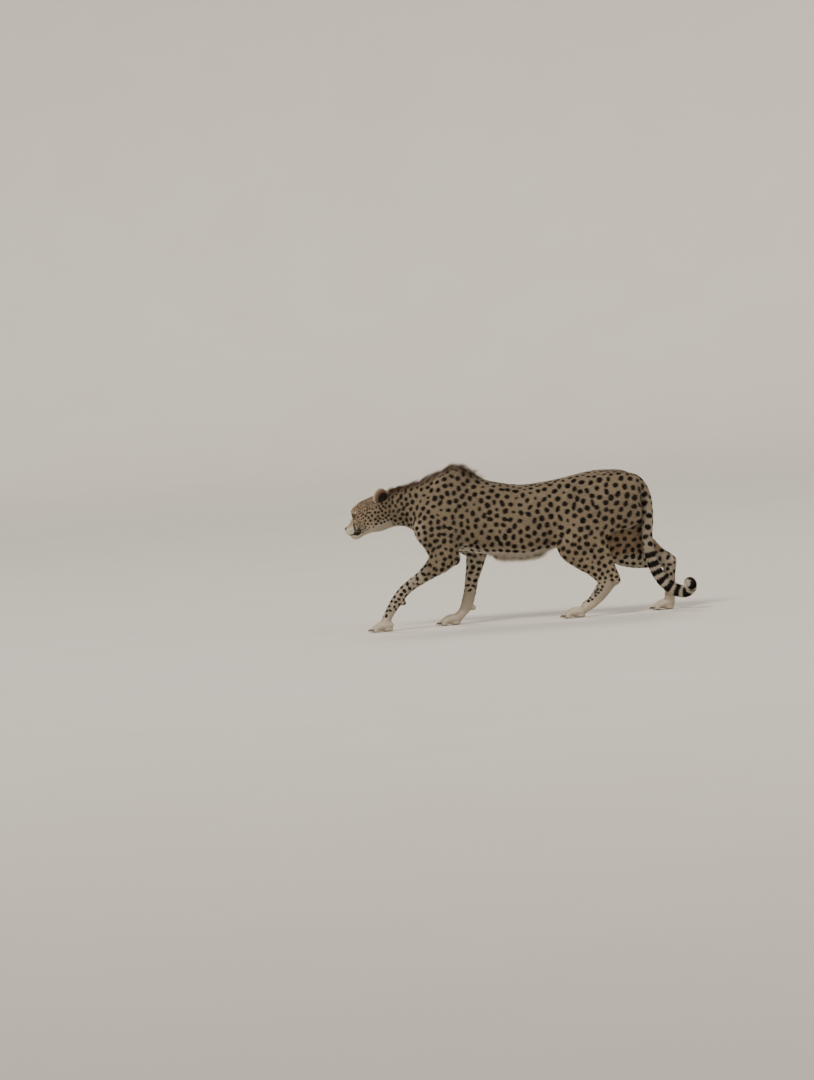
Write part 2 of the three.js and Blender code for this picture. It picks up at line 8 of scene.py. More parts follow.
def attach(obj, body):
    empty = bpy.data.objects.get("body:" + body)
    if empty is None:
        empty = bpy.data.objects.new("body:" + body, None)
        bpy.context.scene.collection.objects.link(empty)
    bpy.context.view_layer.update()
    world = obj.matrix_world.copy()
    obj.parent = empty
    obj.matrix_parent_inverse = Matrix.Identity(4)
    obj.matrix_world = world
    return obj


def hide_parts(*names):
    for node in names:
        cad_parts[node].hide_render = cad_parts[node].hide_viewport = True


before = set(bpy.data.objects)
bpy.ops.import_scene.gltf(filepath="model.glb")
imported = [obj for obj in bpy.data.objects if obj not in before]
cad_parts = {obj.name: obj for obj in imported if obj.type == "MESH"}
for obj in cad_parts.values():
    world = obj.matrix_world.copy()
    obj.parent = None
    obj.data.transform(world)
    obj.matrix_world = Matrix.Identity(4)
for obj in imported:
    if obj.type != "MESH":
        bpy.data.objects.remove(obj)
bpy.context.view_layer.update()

# The animal's plan: millimetres, head towards -X, the animal's left towards -Y, soles on z = 0.
# The solids are made from the same rows.

left, right = -1, 1
sideName = {left: "left", right: "right"}

body = {
    "home": (0.46, -1.19, 0.0),  # puts the middle of the box over the origin
    "noseTip": (-653.0, 62.0, 389.0),
    "headYaw": 18.0,  # the nose is turned to the animal's right
    "headPitch": 20.0,  # and held down
    "barrelEnd": 34.0,
    "barrelTaper": 0.16,  # the back is narrower than the belly
    "barrelBlend": 30.0,
}

# x, height of the back, height of the belly, half width
barrelRows = [
    (-374, 540, 366, 48),
    (-335, 566, 312, 70),
    (-280, 572, 288, 84),
    (-205, 566, 279, 88),
    (-130, 552, 261, 92),
    (-50, 531, 246, 96),
    (25, 519, 240, 97),
    (95, 522, 253, 92),
    (160, 530, 272, 82),
    (230, 542, 300, 77),
    (300, 553, 330, 78),
    (365, 552, 352, 76),
    (412, 546, 384, 68),
    (444, 526, 420, 52),
]

# x, distance from the middle plane, height, girth radius, how flat from side to side
limbRows = {
    "neck": [(-520, -28, 452, 58, 0.84), (-470, -12, 463, 72, 0.78), (-430, -4, 469, 78, 0.76),
             (-385, 0, 468, 84, 0.74), (-330, 0, 458, 98, 0.7)],
    "scapulaLeft": [(-226, 27, 560, 40, 0.66), (-270, 50, 500, 54, 0.56), (-318, 64, 425, 60, 0.55),
                    (-338, 66, 368, 52, 0.62)],
    "armLeft": [(-332, 62, 378, 58, 0.58), (-306, 67, 325, 60, 0.56), (-290, 70, 272, 55, 0.58),
                (-316, 71, 241, 43, 0.68), (-362, 69, 206, 31, 0.78), (-403, 66, 179, 25.5, 0.82),
                (-443, 62, 152, 22.5, 0.88), (-480, 59, 110, 22, 0.95), (-505, 57, 73, 19, 1.05),
                (-524, 56, 40, 18, 1.15)],
    "thighLeft": [(372, 42, 452, 88, 0.5), (318, 48, 400, 96, 0.45), (262, 56, 345, 86, 0.46),
                  (218, 62, 292, 66, 0.52), (198, 66, 262, 52, 0.6), (240, 67, 222, 46, 0.6),
                  (284, 65, 182, 37, 0.62), (322, 62, 132, 33, 0.66), (302, 60, 96, 29, 0.76),
                  (284, 58, 74, 26, 0.86), (262, 57, 54, 23, 1.0), (240, 56, 40, 21, 1.12)],
    "heelLeft": [(292, 62, 272, 44, 0.5), (330, 64, 205, 24, 0.6), (358, 62, 132, 19, 0.7)],
    "scapulaRight": [(-214, 27, 560, 40, 0.66), (-245, 50, 500, 54, 0.56), (-272, 64, 425, 60, 0.55),
                     (-280, 68, 375, 54, 0.6)],
    "armRight": [(-276, 63, 380, 56, 0.58), (-215, 68, 330, 56, 0.56), (-164, 71, 285, 46, 0.62),
                 (-166, 71, 244, 38, 0.72), (-175, 69, 207, 32, 0.78), (-186, 67, 169, 27, 0.84),
                 (-194, 63, 131, 24.5, 0.9), (-206, 60, 90, 24, 0.95), (-222, 58, 55, 20, 1.05),
                 (-240, 57, 36, 18, 1.15)],
    "thighRight": [(384, 42, 450, 88, 0.5), (380, 48, 390, 94, 0.45), (378, 56, 325, 82, 0.47),
                   (382, 63, 268, 66, 0.52), (395, 67, 230, 54, 0.6), (455, 69, 207, 45, 0.6),
                   (520, 66, 196, 35, 0.62), (566, 63, 180, 28, 0.68), (567, 61, 130, 23.5, 0.8),
                   (566, 59, 85, 21.5, 0.92), (563, 57, 45, 21, 1.12)],
    "heelRight": [(462, 64, 262, 52, 0.5), (535, 65, 222, 20, 0.6), (580, 63, 186, 17, 0.7)],
    "tail": [(428, 0, 500, 26, 1), (464, 0, 492, 27, 1), (492, 0, 446, 24, 1), (499, 0, 366, 22, 1),
             (490, 0, 276, 22, 1), (501, 0, 195, 23, 1), (528, 2, 128, 25, 1), (570, 5, 84, 26.5, 1),
             (612, 10, 67, 26.5, 1), (638, 22, 78, 25, 1), (641, 43, 98, 23.5, 1), (632, 63, 104, 19, 1),
             (623, 76, 94, 9, 1)],
}

# x, distance from the middle plane, height, then half sizes along x, y and z
massRows = {
    "withers": (-226, 0, 545, 92, 40, 63),
    "fringe": (-5, 0, 254, 112, 22, 34),
    "tricepsLeft": (-262, 62, 345, 54, 26, 62),
    "tricepsRight": (-196, 62, 345, 56, 26, 62),
    "hipLeft": (405, 36, 462, 72, 42, 74),
    "hipRight": (405, 36, 462, 72, 42, 74),
    "hamLeft": (400, 46, 382, 76, 32, 62),
    "hamRight": (436, 46, 345, 62, 32, 92),
    "flankLeft": (176, 48, 318, 62, 24, 52),
    "flankRight": (268, 48, 330, 92, 26, 44),
    "elbowLeft": (-246, 71, 262, 24, 15, 32),
    "elbowRight": (-134, 72, 288, 24, 15, 30),
    "wristPadLeft": (-452, 60, 104, 12, 9, 10),
    "wristPadRight": (-190, 60, 60, 15, 10, 11),
}

# The head's own frame starts at the nose tip: distance back, to the animal's right, up, then half sizes.
headMiddleRows = {
    "cranium": (142, 0, 19, 74, 56, 58),
    "forehead": (99, 0, 36, 42, 42, 40),
    "chin": (33, 0, -36, 20, 18, 13.5),
    "jaw": (78, 0, -28, 54, 30, 20),
    "throat": (148, 0, -27, 56, 44, 34),
}
headPairedRows = {
    "brow": (76, 24, 47, 20, 17, 18),
    "pad": (30, 16, -14, 25, 19, 18),
    "cheek": (113, 36, -10, 44, 28, 36),
    "lip": (58, 18, -9, 36, 19, 22),
    "cheekbone": (92, 37, 12, 34, 19, 20),
    "nape": (178, 20, 12, 40, 44, 50),
}
bridgeRows = [(13, 0, -3, 12.5, 1.3), (34, 0, 4, 15.5, 1.25), (60, 0, 19, 20, 1.2), (88, 0, 28, 26, 1.1)]
eye = {"back": 75.0, "out": 28.0, "up": 30.0}
ear = {
    "back": 198.0, "out": 50.0, "up": 39.0, "length": 70.0, "width": 31.0, "depth": 18.0,
    "splay": 34.0, "turn": 36.0, "lean": 36.0,
    "inset": 1.2,  # how deep the skin lies under the coat there
    "wall": 5.6,
    "front": -5.0,  # where the cup is cut open
    "root": (13.0, 25.0, 21.0),
}
toe = {"places": (-1.5, -0.5, 0.5, 1.5), "spread": 15.0, "ahead": 36, "lead": 9.0, "length": 34.0,
       "radius": 10.5, "height": 17.0}
# x and height from the paw's middle, half sizes, and how softly each mass behind the toes melts in
pawMasses = [(8, 24, (34, 24, 19), 10), (-9, 15, (20, 22, 10.5), 8), (16, 8, (22, 21, 10), 6)]
paws = {  # x, distance from the middle plane
    ("fore", left): (-535, 56),
    ("fore", right): (-275, 56),
    ("hind", left): (196, 55),
    ("hind", right): (540, 56),
}


# distances

def ease(x, a, b):
    # 0 at a, 1 at b, and smooth between them, whichever is the larger
    t = np.clip((x - a) / (b - a), 0, 1)
    return t * t * (3 - 2 * t)


def ellipsoidDistance(offset, sizes):
    # near is 1 on the ellipsoid; near * (near - 1) over its slope is the distance there
    sizes = np.asarray(sizes, float)
    near = np.sqrt(np.square(offset / sizes).sum(-1))
    slope = np.sqrt(np.square(offset / (sizes * sizes)).sum(-1))
    return np.where(slope < 1e-9, -np.min(sizes, -1), near * (near - 1) / np.maximum(slope, 1e-9))


def melt(a, b, k):
    # the lesser of two distances, rounded over the width k where they are alike
    h = np.maximum(k - np.abs(a - b), 0) / k
    return np.minimum(a, b) - h * h * k * 0.25


def throughJoints(rows, steps):
    # a smooth curve through rows of numbers: cubic pieces whose slope at a row is half the step across it
    rows = np.asarray(rows, float)
    padded = np.vstack([2 * rows[0] - rows[1], rows, 2 * rows[-1] - rows[-2]])
    t = np.linspace(0, len(rows) - 1, (len(rows) - 1) * steps + 1)
    i = np.minimum(t.astype(int), len(rows) - 2)
    w = (t - i)[:, None]
    a, b, c, d = (padded[i + n] for n in range(4))
    s0, s1 = (c - a) / 2, (d - b) / 2
    return b + s0 * w + (3 * (c - b) - 2 * s0 - s1) * w**2 + (2 * (b - c) + s0 + s1) * w**3


def makeLimb(rows, side, blend, steps=4):
    rows = [(x, y * side, z, r, flat) for x, y, z, r, flat in rows]
    path = throughJoints(rows, steps)
    low, high = path[:, :3].min(0), path[:, :3].max(0)
    reach = np.linalg.norm((high - low) / 2 + path[:, 3].max())
    return {"path": path, "blend": blend, "centre": (low + high) / 2, "reach": reach}


def alongLimb(points, limb, share=1.0):
    # distance to a chain of tapered rods, and which rod is nearest and how far along it
    path = limb["path"]
    least = np.full(len(points), 1e9)
    place = np.zeros(len(points))
    for i in range(len(path) - 1):
        a, step = path[i], path[i + 1] - path[i]
        axis = step[:3]
        t = np.clip((points - a[:3]) @ axis / (axis @ axis), 0, 1)
        r = (a[3] + step[3] * t) * share
        flat = a[4] + step[4] * t
        d = ellipsoidDistance(points - a[:3] - t[:, None] * axis, np.stack([r, r * flat, r], 1))
        better = d < least
        least[better] = d[better]
        place[better] = i + t[better]
    return least, place


def makeMass(row, side, blend):
    x, y, z, *sizes = row
    centre = np.array([x, y * side, z], float)
    return {"sizes": np.array(sizes, float), "blend": blend, "centre": centre, "reach": max(sizes)}


barrel = np.array(barrelRows, float)


def barrelAt(x):
    # top, bottom and half width at x, smooth through the rows
    i = np.clip(np.searchsorted(barrel[:, 0], x), 1, len(barrel) - 1)
    a, b = barrel[i - 1], barrel[i]
    before, after = barrel[np.maximum(i - 2, 0)], barrel[np.minimum(i + 1, len(barrel) - 1)]
    span = b[:, 0] - a[:, 0]
    t = ((x - a[:, 0]) / span)[:, None]
    s0 = (b - before) / (b[:, :1] - before[:, :1]) * span[:, None]
    s1 = (after - a) / (after[:, :1] - a[:, :1]) * span[:, None]
    t2, t3 = t**2, t**3
    found = (2 * t3 - 3 * t2 + 1) * a + (t3 - 2 * t2 + t) * s0 + (3 * t2 - 2 * t3) * b + (t3 - t2) * s1
    return found[:, 1], found[:, 2], found[:, 3]


def barrelDistance(points):
    inside = np.clip(points[:, 0], barrel[0, 0], barrel[-1, 0])
    top, bottom, width = barrelAt(inside)
    half = (top - bottom) / 2
    rise = points[:, 2] - (top + bottom) / 2
    width = width * (1 - body["barrelTaper"] * np.clip(rise / half, -1, 1))
    offset = np.stack([points[:, 0] - inside, points[:, 1], rise], 1)
    return ellipsoidDistance(offset, np.stack([np.full(len(points), body["barrelEnd"]), width, half], 1))


def turned(axis, degrees):
    c, s = math.cos(math.radians(degrees)), math.sin(math.radians(degrees))
    i, j = {"x": (1, 2), "y": (2, 0), "z": (0, 1)}[axis]
    m = np.eye(3)
    m[i, i], m[i, j], m[j, i], m[j, j] = c, -s, s, c
    return m


noseTip = np.array(body["noseTip"])
headTurn = turned("z", -body["headYaw"]) @ turned("y", -body["headPitch"])


def toHead(points):
    return (points - noseTip) @ headTurn


def fromHead(points):
    return np.asarray(points, float) @ headTurn.T + noseTip


def toeTips(x):
    # each toe's place across the paw, counted in spreads, and the x of its tip; the middle two lead
    return [(place, x - toe["ahead"] - (toe["lead"] if abs(place) < 1 else 0)) for place in toe["places"]]


def pawShapes(row, side):
    # four toes that fan out, their pads, and the large pad behind them
    x, middle = row[0], row[1] * side
    made = []
    for place, tip in toeTips(x):
        across = place * toe["spread"]
        rows = [
            (tip + toe["length"], middle + across * 0.72, toe["height"] + 8, toe["radius"] + 1, 0.92),
            (tip + toe["length"] * 0.45, middle + across * 0.95, toe["height"] + 2, toe["radius"], 0.88),
            (tip + 6, middle + across, toe["height"] - 7, toe["radius"] - 1, 0.9),
        ]
        made += [makeLimb(rows, 1, 3, 3), makeMass((tip + 13, middle + across, 4.5, 11, 7.5, 6.5), 1, 3)]
    return made + [makeMass((x + back, middle, z, *sizes), 1, blend) for back, z, sizes, blend in pawMasses]


blends = {"scapula": 36, "arm": 26, "thigh": 26, "heel": 16}
limbs = {"neck": makeLimb(limbRows["neck"], -1, 40), "tail": makeLimb(limbRows["tail"], -1, 1, 4)}
bodyShapes = [limbs["neck"], makeMass(massRows["withers"], 1, 40), makeMass(massRows["fringe"], 1, 24)]
for side in (left, right):
    name = sideName[side].capitalize()
    for kind, blend in blends.items():
        limbs[kind + name] = makeLimb(limbRows[kind + name], side, blend)
        bodyShapes.append(limbs[kind + name])
    bodyShapes += [makeMass(massRows[kind + name], side, 26) for kind in ("triceps", "hip", "ham", "flank")]
    bodyShapes += [makeMass(massRows[kind + name], side, 10) for kind in ("elbow", "wristPad")]
    bodyShapes += pawShapes(paws["fore", side], side) + pawShapes(paws["hind", side], side)
headShapes = [makeMass(row, 1, 18) for row in headMiddleRows.values()]
headShapes.append(makeLimb(bridgeRows, 1, 10))
for side in (left, right):
    headShapes += [makeMass(row, side, 16) for row in headPairedRows.values()]
headMiddle = fromHead([(105, 0, 0)])[0]
headReach = 190.0


def addShapes(points, d, shapes):
    # melts each shape into the distance, counted only where the shape can reach
    for shape in shapes:
        away = np.linalg.norm(points - shape["centre"], axis=1) - shape["reach"]
        near = np.flatnonzero(away <= d + shape["blend"])
        if not near.size:
            continue
        p = points[near]
        if "path" in shape:
            own, _ = alongLimb(p, shape)
        else:
            own = ellipsoidDistance(p - shape["centre"], shape["sizes"])
        d[near] = melt(d[near], own, shape["blend"])
    return d


def fleshDistance(points):
    # distance to the outside of the coat: negative inside, as the solids have it, ears and tail apart
    d = melt(np.full(len(points), 1e3), barrelDistance(points), body["barrelBlend"])
    d = addShapes(points, d, bodyShapes)
    near = np.flatnonzero(np.linalg.norm(points - headMiddle, axis=1) < headReach)
    if near.size:
        d[near] = addShapes(toHead(points[near]), d[near], headShapes)
    return d


# the skin's own shape

coatLength = {  # how deep the coat stands over the skin, in millimetres
    "body": 4.0,
    "face": 1.7,
    "legs": 2.2,
    "mane": 17.0,
    "fringe": 15.0,
    "chest": 4.0,
    "tail": 0.79,  # the tail's skin, as a share of the furred tail's radius
    "sole": 0.8,  # pads stand this far off the floor
    "toes": 2.6,  # depth of the furrows between the toes
}
# the crest that the mane stands on: x, then the coat's top there
crest = np.array([(-560, 506), (-520, 524), (-480, 539), (-400, 562),
                  (-300, 596), (-226, 611), (-150, 589), (-90, 551)])


def maneShare(p):
    along = ease(p[:, 0], -552, -500) * ease(p[:, 0], -96, -190)
    height = p[:, 2] - np.interp(p[:, 0], crest[:, 0], crest[:, 1])
    return along * np.exp(-np.square(p[:, 1] / 30)) * ease(height, -62, -12)


def fringeShare(p):
    along = ease(p[:, 0], -165, -80) * ease(p[:, 0], 150, 70)
    return along * np.exp(-np.square(p[:, 1] / 34)) * ease(p[:, 2], 292, 250)


def coatDepth(p):
    q = toHead(p)
    face = ease(q[:, 0], 190, 110) * ease(p[:, 0], -440, -500)
    leg = ease(p[:, 2], 250, 110)
    chest = ease(p[:, 0], -300, -350) * ease(p[:, 0], -440, -400) * ease(p[:, 2], 400, 350)
    depth = coatLength["body"] + (coatLength["face"] - coatLength["body"]) * face
    depth = depth + (coatLength["legs"] - depth) * leg
    share = 0.45 + 0.55 * ease(p[:, 0], -520, -300)  # the nape's hair is shorter than the withers'
    depth = depth + coatLength["mane"] * share * maneShare(p)
    return depth + coatLength["fringe"] * fringeShare(p) + coatLength["chest"] * chest


# The eye's opening: an almond about the line of sight, in the head's frame, for the right eye.
lids = {"ball": 17.4, "melt": 10.0, "gaze": (-0.82, 0.57, 0.04), "tilt": 16.0, "half": 14.0, "inner": 17.0,
        "upper": 8.0, "lower": 7.0, "deep": 8.0}
nosePad = {"centre": (11.0, 0.0, 1.0), "sizes": (11.4, 16.0, 10.0)}
nostril = {"centre": (1.0, 6.4, -0.5), "sizes": (6.0, 3.2, 3.6), "slitWide": 1.5}
nostrilSlit = np.array([(2.0, 8.0, -1.0), (7.5, 14.5, 2.0)])
grooves = {"lips": (2.6, 1.7), "nose": (1.6, 1.5), "tear": (0.7, 2.2)}  # depth, then half width, in the face
# back, then height of the parting of the lips
mouth = np.array([(4, -25), (14, -25.5), (30, -29.5), (46, -30.5), (58, -28), (68, -24)])
# back, then height of the dark line from the inner corner of the eye to the corner of the mouth
tearPath = np.array([(61.0, 27.0), (56.5, 17.0), (52.5, 7.0), (50.0, -3.0), (49.0, -13.0), (50.0, -24.0)])


def eyeMiddle(side):
    return np.array([eye["back"], eye["out"] * side, eye["up"]])


def eyeAxes(side):
    gaze = np.array(lids["gaze"], float) * (1, side, 1)
    gaze /= np.linalg.norm(gaze)
    level = np.cross(gaze, (0, 0, 1.0)) * side  # towards the outer corner
    level /= np.linalg.norm(level)
    rise = np.cross(level, gaze)
    rise *= np.sign(rise[2])
    c, s = math.cos(math.radians(lids["tilt"])), math.sin(math.radians(lids["tilt"]))
    return level * c + rise * s, rise * c - level * s, gaze


def eyeOpening(q, side):
    # less than 0 inside the almond; also the place across it and the depth along the line of sight
    along, up, gaze = eyeAxes(side)
    e = q - eyeMiddle(side)
    u, v, w = e @ along, e @ up, e @ gaze
    bow = 1 - np.square(u / np.where(u < 0, lids["inner"], lids["half"]))
    return np.maximum(v - lids["upper"] * bow, -v - lids["lower"] * bow) * 0.8, u, w


def pathDistance(q, path):
    least = np.full(len(q), 1e9)
    for a, b in zip(path[:-1], path[1:]):
        t = np.clip((q - a) @ (b - a) / ((b - a) @ (b - a)), 0, 1)
        least = np.minimum(least, np.linalg.norm(q - a - t[:, None] * (b - a), axis=1))
    return least


def shapeHead(q, d):
    # lids over the eyeballs, their almond openings, the nose pad and nostrils, and the parting of the lips
    for side in (left, right):
        d = melt(d, np.linalg.norm(q - eyeMiddle(side), axis=1) - lids["ball"], lids["melt"])
    d = melt(d, ellipsoidDistance(q - nosePad["centre"], nosePad["sizes"]), 3)
    mirrored = np.stack([q[:, 0], np.abs(q[:, 1]), q[:, 2]], 1)
    lip = q[:, 2] - np.interp(q[:, 0], mouth[:, 0], mouth[:, 1])

    def groove(kind, gap, *shown):
        deep, wide = grooves[kind]
        cut = np.exp(-np.square(gap / wide))
        for share in shown:
            cut = cut * share
        return deep * cut

    d = d + groove("lips", lip, ease(q[:, 0], 68, 56))
    d = d + groove("nose", q[:, 1], ease(q[:, 2], -4, -9), ease(q[:, 2], -27, -23), ease(q[:, 0], 22, 14))
    d = d + groove("tear", pathDistance(q[:, ::2], tearPath), ease(q[:, 2], -20, -8))
    hole = ellipsoidDistance(mirrored - nostril["centre"], nostril["sizes"])
    slit = pathDistance(mirrored, nostrilSlit) - nostril["slitWide"]
    d = np.maximum(d, -melt(hole, slit, 2))
    for side in (left, right):
        opening, _, deep = eyeOpening(q, side)
        d = np.maximum(d, -np.maximum(opening, lids["deep"] - deep))
    return d


earTurn = {}
for side in (left, right):
    upright = turned("y", ear["lean"]) @ turned("z", side * ear["turn"])
    earTurn[side] = upright @ turned("x", -side * ear["splay"])


def toEar(q, side):
    # the ear's own frame: its front is -x, its width y and its tip +z, from the middle of its root
    return (q - np.array([ear["back"], ear["out"] * side, ear["up"]])) @ earTurn[side]


def earDistance(q, side):
    # a cup: an egg-shaped shell cut away in front with a rounded rim, on a broad root
    p = toEar(q, side) - (0, 0, ear["length"] * 0.28)
    half, inset, wall = ear["length"] / 2, ear["inset"], ear["wall"] / 2
    outer = ellipsoidDistance(p, (ear["depth"] - inset, ear["width"] - inset, half - inset))
    shell = np.abs(outer + wall) - wall
    cup = -melt(-shell, p[:, 0] - ear["front"], 4.0)
    return melt(cup, ellipsoidDistance(p - (5.0, 0, -half * 0.62), ear["root"]), 7)


tailBlend = (2.0, 24.0)  # the tail's skin runs into the rump, but only touches the legs


def toeFurrows(p):
    # depth of the furrows between the toes at each point
    deep = np.zeros(len(p))
    low = np.flatnonzero(p[:, 2] < 42)
    for (_, hand), (x, out) in paws.items():
        near = low[(np.abs(p[low, 0] - x + 20) < 40) & (np.abs(p[low, 1] - out * hand) < 40)]
        ahead = x - p[near, 0]
        across = (p[near, 1] - out * hand) / (toe["spread"] * (0.72 + 0.28 * ease(ahead, -2, 36)))
        gap = np.abs(across - np.clip(np.round(across), -1, 1)) * toe["spread"]
        deep[near] = coatLength["toes"] * np.exp(-np.square(gap / 2.4)) * ease(ahead, -4, 18)
        deep[near] *= ease(p[near, 2], 40, 26)
    return deep


# Soft folds over the muscles of both sides: x and height along each, its depth and its width. They lie
# before the thigh, behind the upper arm, before the shoulder blade and down the back of the thigh.
folds = [
    {"path": [(194, 508), (150, 436), (116, 366), (122, 296)], "deep": 5.0, "wide": 11.0},
    {"path": [(-168, 508), (-188, 430), (-212, 372), (-238, 322)], "deep": 4.0, "wide": 13.0},
    {"path": [(-316, 548), (-348, 470), (-370, 412)], "deep": 3.0, "wide": 13.0},
    {"path": [(420, 505), (406, 430), (386, 368)], "deep": 3.0, "wide": 12.0},
]


def foldDepth(p):
    # each fold is a bell-shaped furrow about its path, seen from the side
    deep = np.zeros(len(p))
    for fold in folds:
        path = np.array(fold["path"], float)
        near = np.flatnonzero(np.abs(p[:, 0] - path[:, 0].mean()) < 90)
        furrow = np.exp(-np.square(pathDistance(p[near][:, ::2], path) / fold["wide"]))
        deep[near] += fold["deep"] * furrow * ease(np.abs(p[near, 1]), 28, 56)
    return deep


def skinDistance(points):
    d = fleshDistance(points) + coatDepth(points) + toeFurrows(points) + foldDepth(points)
    own, _ = alongLimb(points, limbs["tail"], share=coatLength["tail"])
    d = melt(d, own, tailBlend[0] + tailBlend[1] * ease(points[:, 2], 432, 482))
    near = np.flatnonzero(np.linalg.norm(points - headMiddle, axis=1) < headReach)
    if near.size:
        q = toHead(points[near])
        own = shapeHead(q, d[near])
        for side in (left, right):
            own = melt(own, earDistance(q, side), 7)
        d[near] = own
    return np.maximum(d, coatLength["sole"] - points[:, 2])


# from the distance to a mesh

def gridLines(*stretches):
    # (start, end, spacing) one after the other, joined into one rising list of lines
    lines = [np.linspace(a, b, int(round((b - a) / step)), endpoint=False) for a, b, step in stretches]
    return np.concatenate(lines + [[stretches[-1][1]]])


skinGrid = {
    "lines": [  # along x, y and z
        gridLines((-668, -470, 3.3), (-470, 440, 7.0), (440, 676, 6.0)),
        gridLines((-120, 120, 4.2)),
        gridLines((-8, 340, 6.4), (340, 556, 3.7), (556, 624, 5.0)),
    ],
    "coarse": 3,  # every third line is tried first
    "near": 26,  # and the others only where the surface is this near
}


halves = [slice(0, -1), slice(1, None)]  # the first of two neighbours along an axis, and the second
corners = [(i, j, k) for k in (0, 1) for j in (0, 1) for i in (0, 1)]  # of a cell: n and 7 - n are opposite


def slab(parts):
    # an index into a grid: the part given for some axes, the whole of the others
    return tuple(parts.get(axis, slice(None)) for axis in range(3))


def sampleGrid(distance, lines, coarse, near):
    # the distance at every crossing of the lines; far from the surface only its sign counts
    pick = [np.unique(np.append(np.arange(0, len(g), coarse), len(g) - 1)) for g in lines]
    rough = np.stack(np.meshgrid(*(g[p] for g, p in zip(lines, pick)), indexing="ij"), -1)
    found = distance(rough.reshape(-1, 3)).reshape(rough.shape[:3])
    nearest = [np.abs(np.arange(len(g))[:, None] - p[None]).argmin(1) for g, p in zip(lines, pick)]
    values = found[np.ix_(*nearest)]
    close = np.argwhere(np.abs(values) < near)
    values[tuple(close.T)] = distance(np.stack([g[n] for g, n in zip(lines, close.T)], 1))
    for axis in range(3):
        for end in (0, -1):
            values[slab({axis: end})] = np.maximum(values[slab({axis: end})], 1.0)
    return values


def closePinches(values):
    # fills crossings of the lines until no two parts of the surface meet at a mere edge or corner
    while True:
        inside = values < 0
        fill = np.zeros_like(inside)
        for a, b in ((0, 1), (1, 2), (2, 0)):
            places = [slab({a: halves[i], b: halves[j]}) for i, j in ((0, 0), (1, 1), (1, 0), (0, 1))]
            one, two, three, four = (inside[place] for place in places)
            crossed = (one == two) & (three == four) & (one != three)
            for place in places:
                fill[place] |= crossed
        solid = [inside[halves[i], halves[j], halves[k]] for i, j, k in corners]
        count = sum(corner.astype(np.int8) for corner in solid)
        for n in range(4):
            a, b = solid[n], solid[7 - n]
            apart = ((count == 2) & a & b) | ((count == 6) & ~a & ~b)
            for i, j, k in corners:
                fill[halves[i], halves[j], halves[k]] |= apart
        fill &= ~inside
        if not fill.any():
            return values
        values[fill] = -0.2


def surfaceNets(values, lines):
    # a vertex in each cell that the surface crosses, at the middle of its crossings, and a quad on each
    # crossed edge, parted along its shorter diagonal
    inside = values < 0
    count = sum(inside[halves[i], halves[j], halves[k]].astype(np.int8) for i, j, k in corners)
    cells = np.argwhere((count > 0) & (count < 8))
    number = np.full(count.shape, -1)
    number[tuple(cells.T)] = np.arange(len(cells))
    at = {c: values[tuple((cells + c).T)] for c in corners}
    total, hits = np.zeros((len(cells), 3)), np.zeros(len(cells))
    for axis in range(3):
        for c in corners:
            if c[axis]:
                continue
            a, b = at[c], at[tuple(v + (n == axis) for n, v in enumerate(c))]
            hit = (a < 0) != (b < 0)
            spot = np.tile(np.array(c, float), (len(cells), 1))
            spot[:, axis] = np.where(hit, a / np.where(hit, a - b, 1), 0)
            total += spot * hit[:, None]
            hits += hit
    spot = cells + total / hits[:, None]
    verts = np.stack([np.interp(spot[:, n], np.arange(len(g)), g) for n, g in enumerate(lines)], 1)
    quads = []
    for axis in range(3):
        crossed = np.argwhere(inside[slab({axis: halves[0]})] != inside[slab({axis: halves[1]})])
        rising = inside[tuple(crossed.T)]
        ring = []
        for du, dw in ((0, 0), (-1, 0), (-1, -1), (0, -1)):
            cell = crossed.copy()
            cell[:, (axis + 1) % 3] += du
            cell[:, (axis + 2) % 3] += dw
            ring.append(number[tuple(cell.T)])
        ring = np.stack(ring, 1)
        ring[~rising] = ring[~rising][:, ::-1]
        quads.append(ring)
    quads = np.concatenate(quads)
    p = verts[quads]
    short = np.linalg.norm(p[:, 0] - p[:, 2], axis=1) <= np.linalg.norm(p[:, 1] - p[:, 3], axis=1)
    first = np.where(short[:, None], quads[:, [0, 1, 2]], quads[:, [0, 1, 3]])
    second = np.where(short[:, None], quads[:, [0, 2, 3]], quads[:, [1, 2, 3]])
    return verts, np.concatenate([first, second])


def slopeOf(distance, points, step=0.7):
    here = distance(points)
    slope = np.stack([(distance(points + np.eye(3)[n] * step) - here) / step for n in range(3)], 1)
    return here, slope


def pullOn(distance, verts, most=3.0):
    # moves points along the slope of the distance to where it is zero, by at most a few millimetres
    here, slope = slopeOf(distance, verts)
    move = -slope * (here / np.maximum(np.square(slope).sum(1), 0.3))[:, None]
    far = np.linalg.norm(move, axis=1, keepdims=True)
    return verts + move * np.minimum(1, most / np.maximum(far, 1e-9))


def edgesOf(tris):
    # the mesh's edges, once each, and the three edges of every triangle
    ends = np.sort(np.concatenate([tris[:, [0, 1]], tris[:, [1, 2]], tris[:, [2, 0]]]), 1)
    key, place = np.unique(ends[:, 0] * (tris.max() + 1) + ends[:, 1], return_inverse=True)
    return np.stack([key // (tris.max() + 1), key % (tris.max() + 1)], 1), place.reshape(3, -1).T


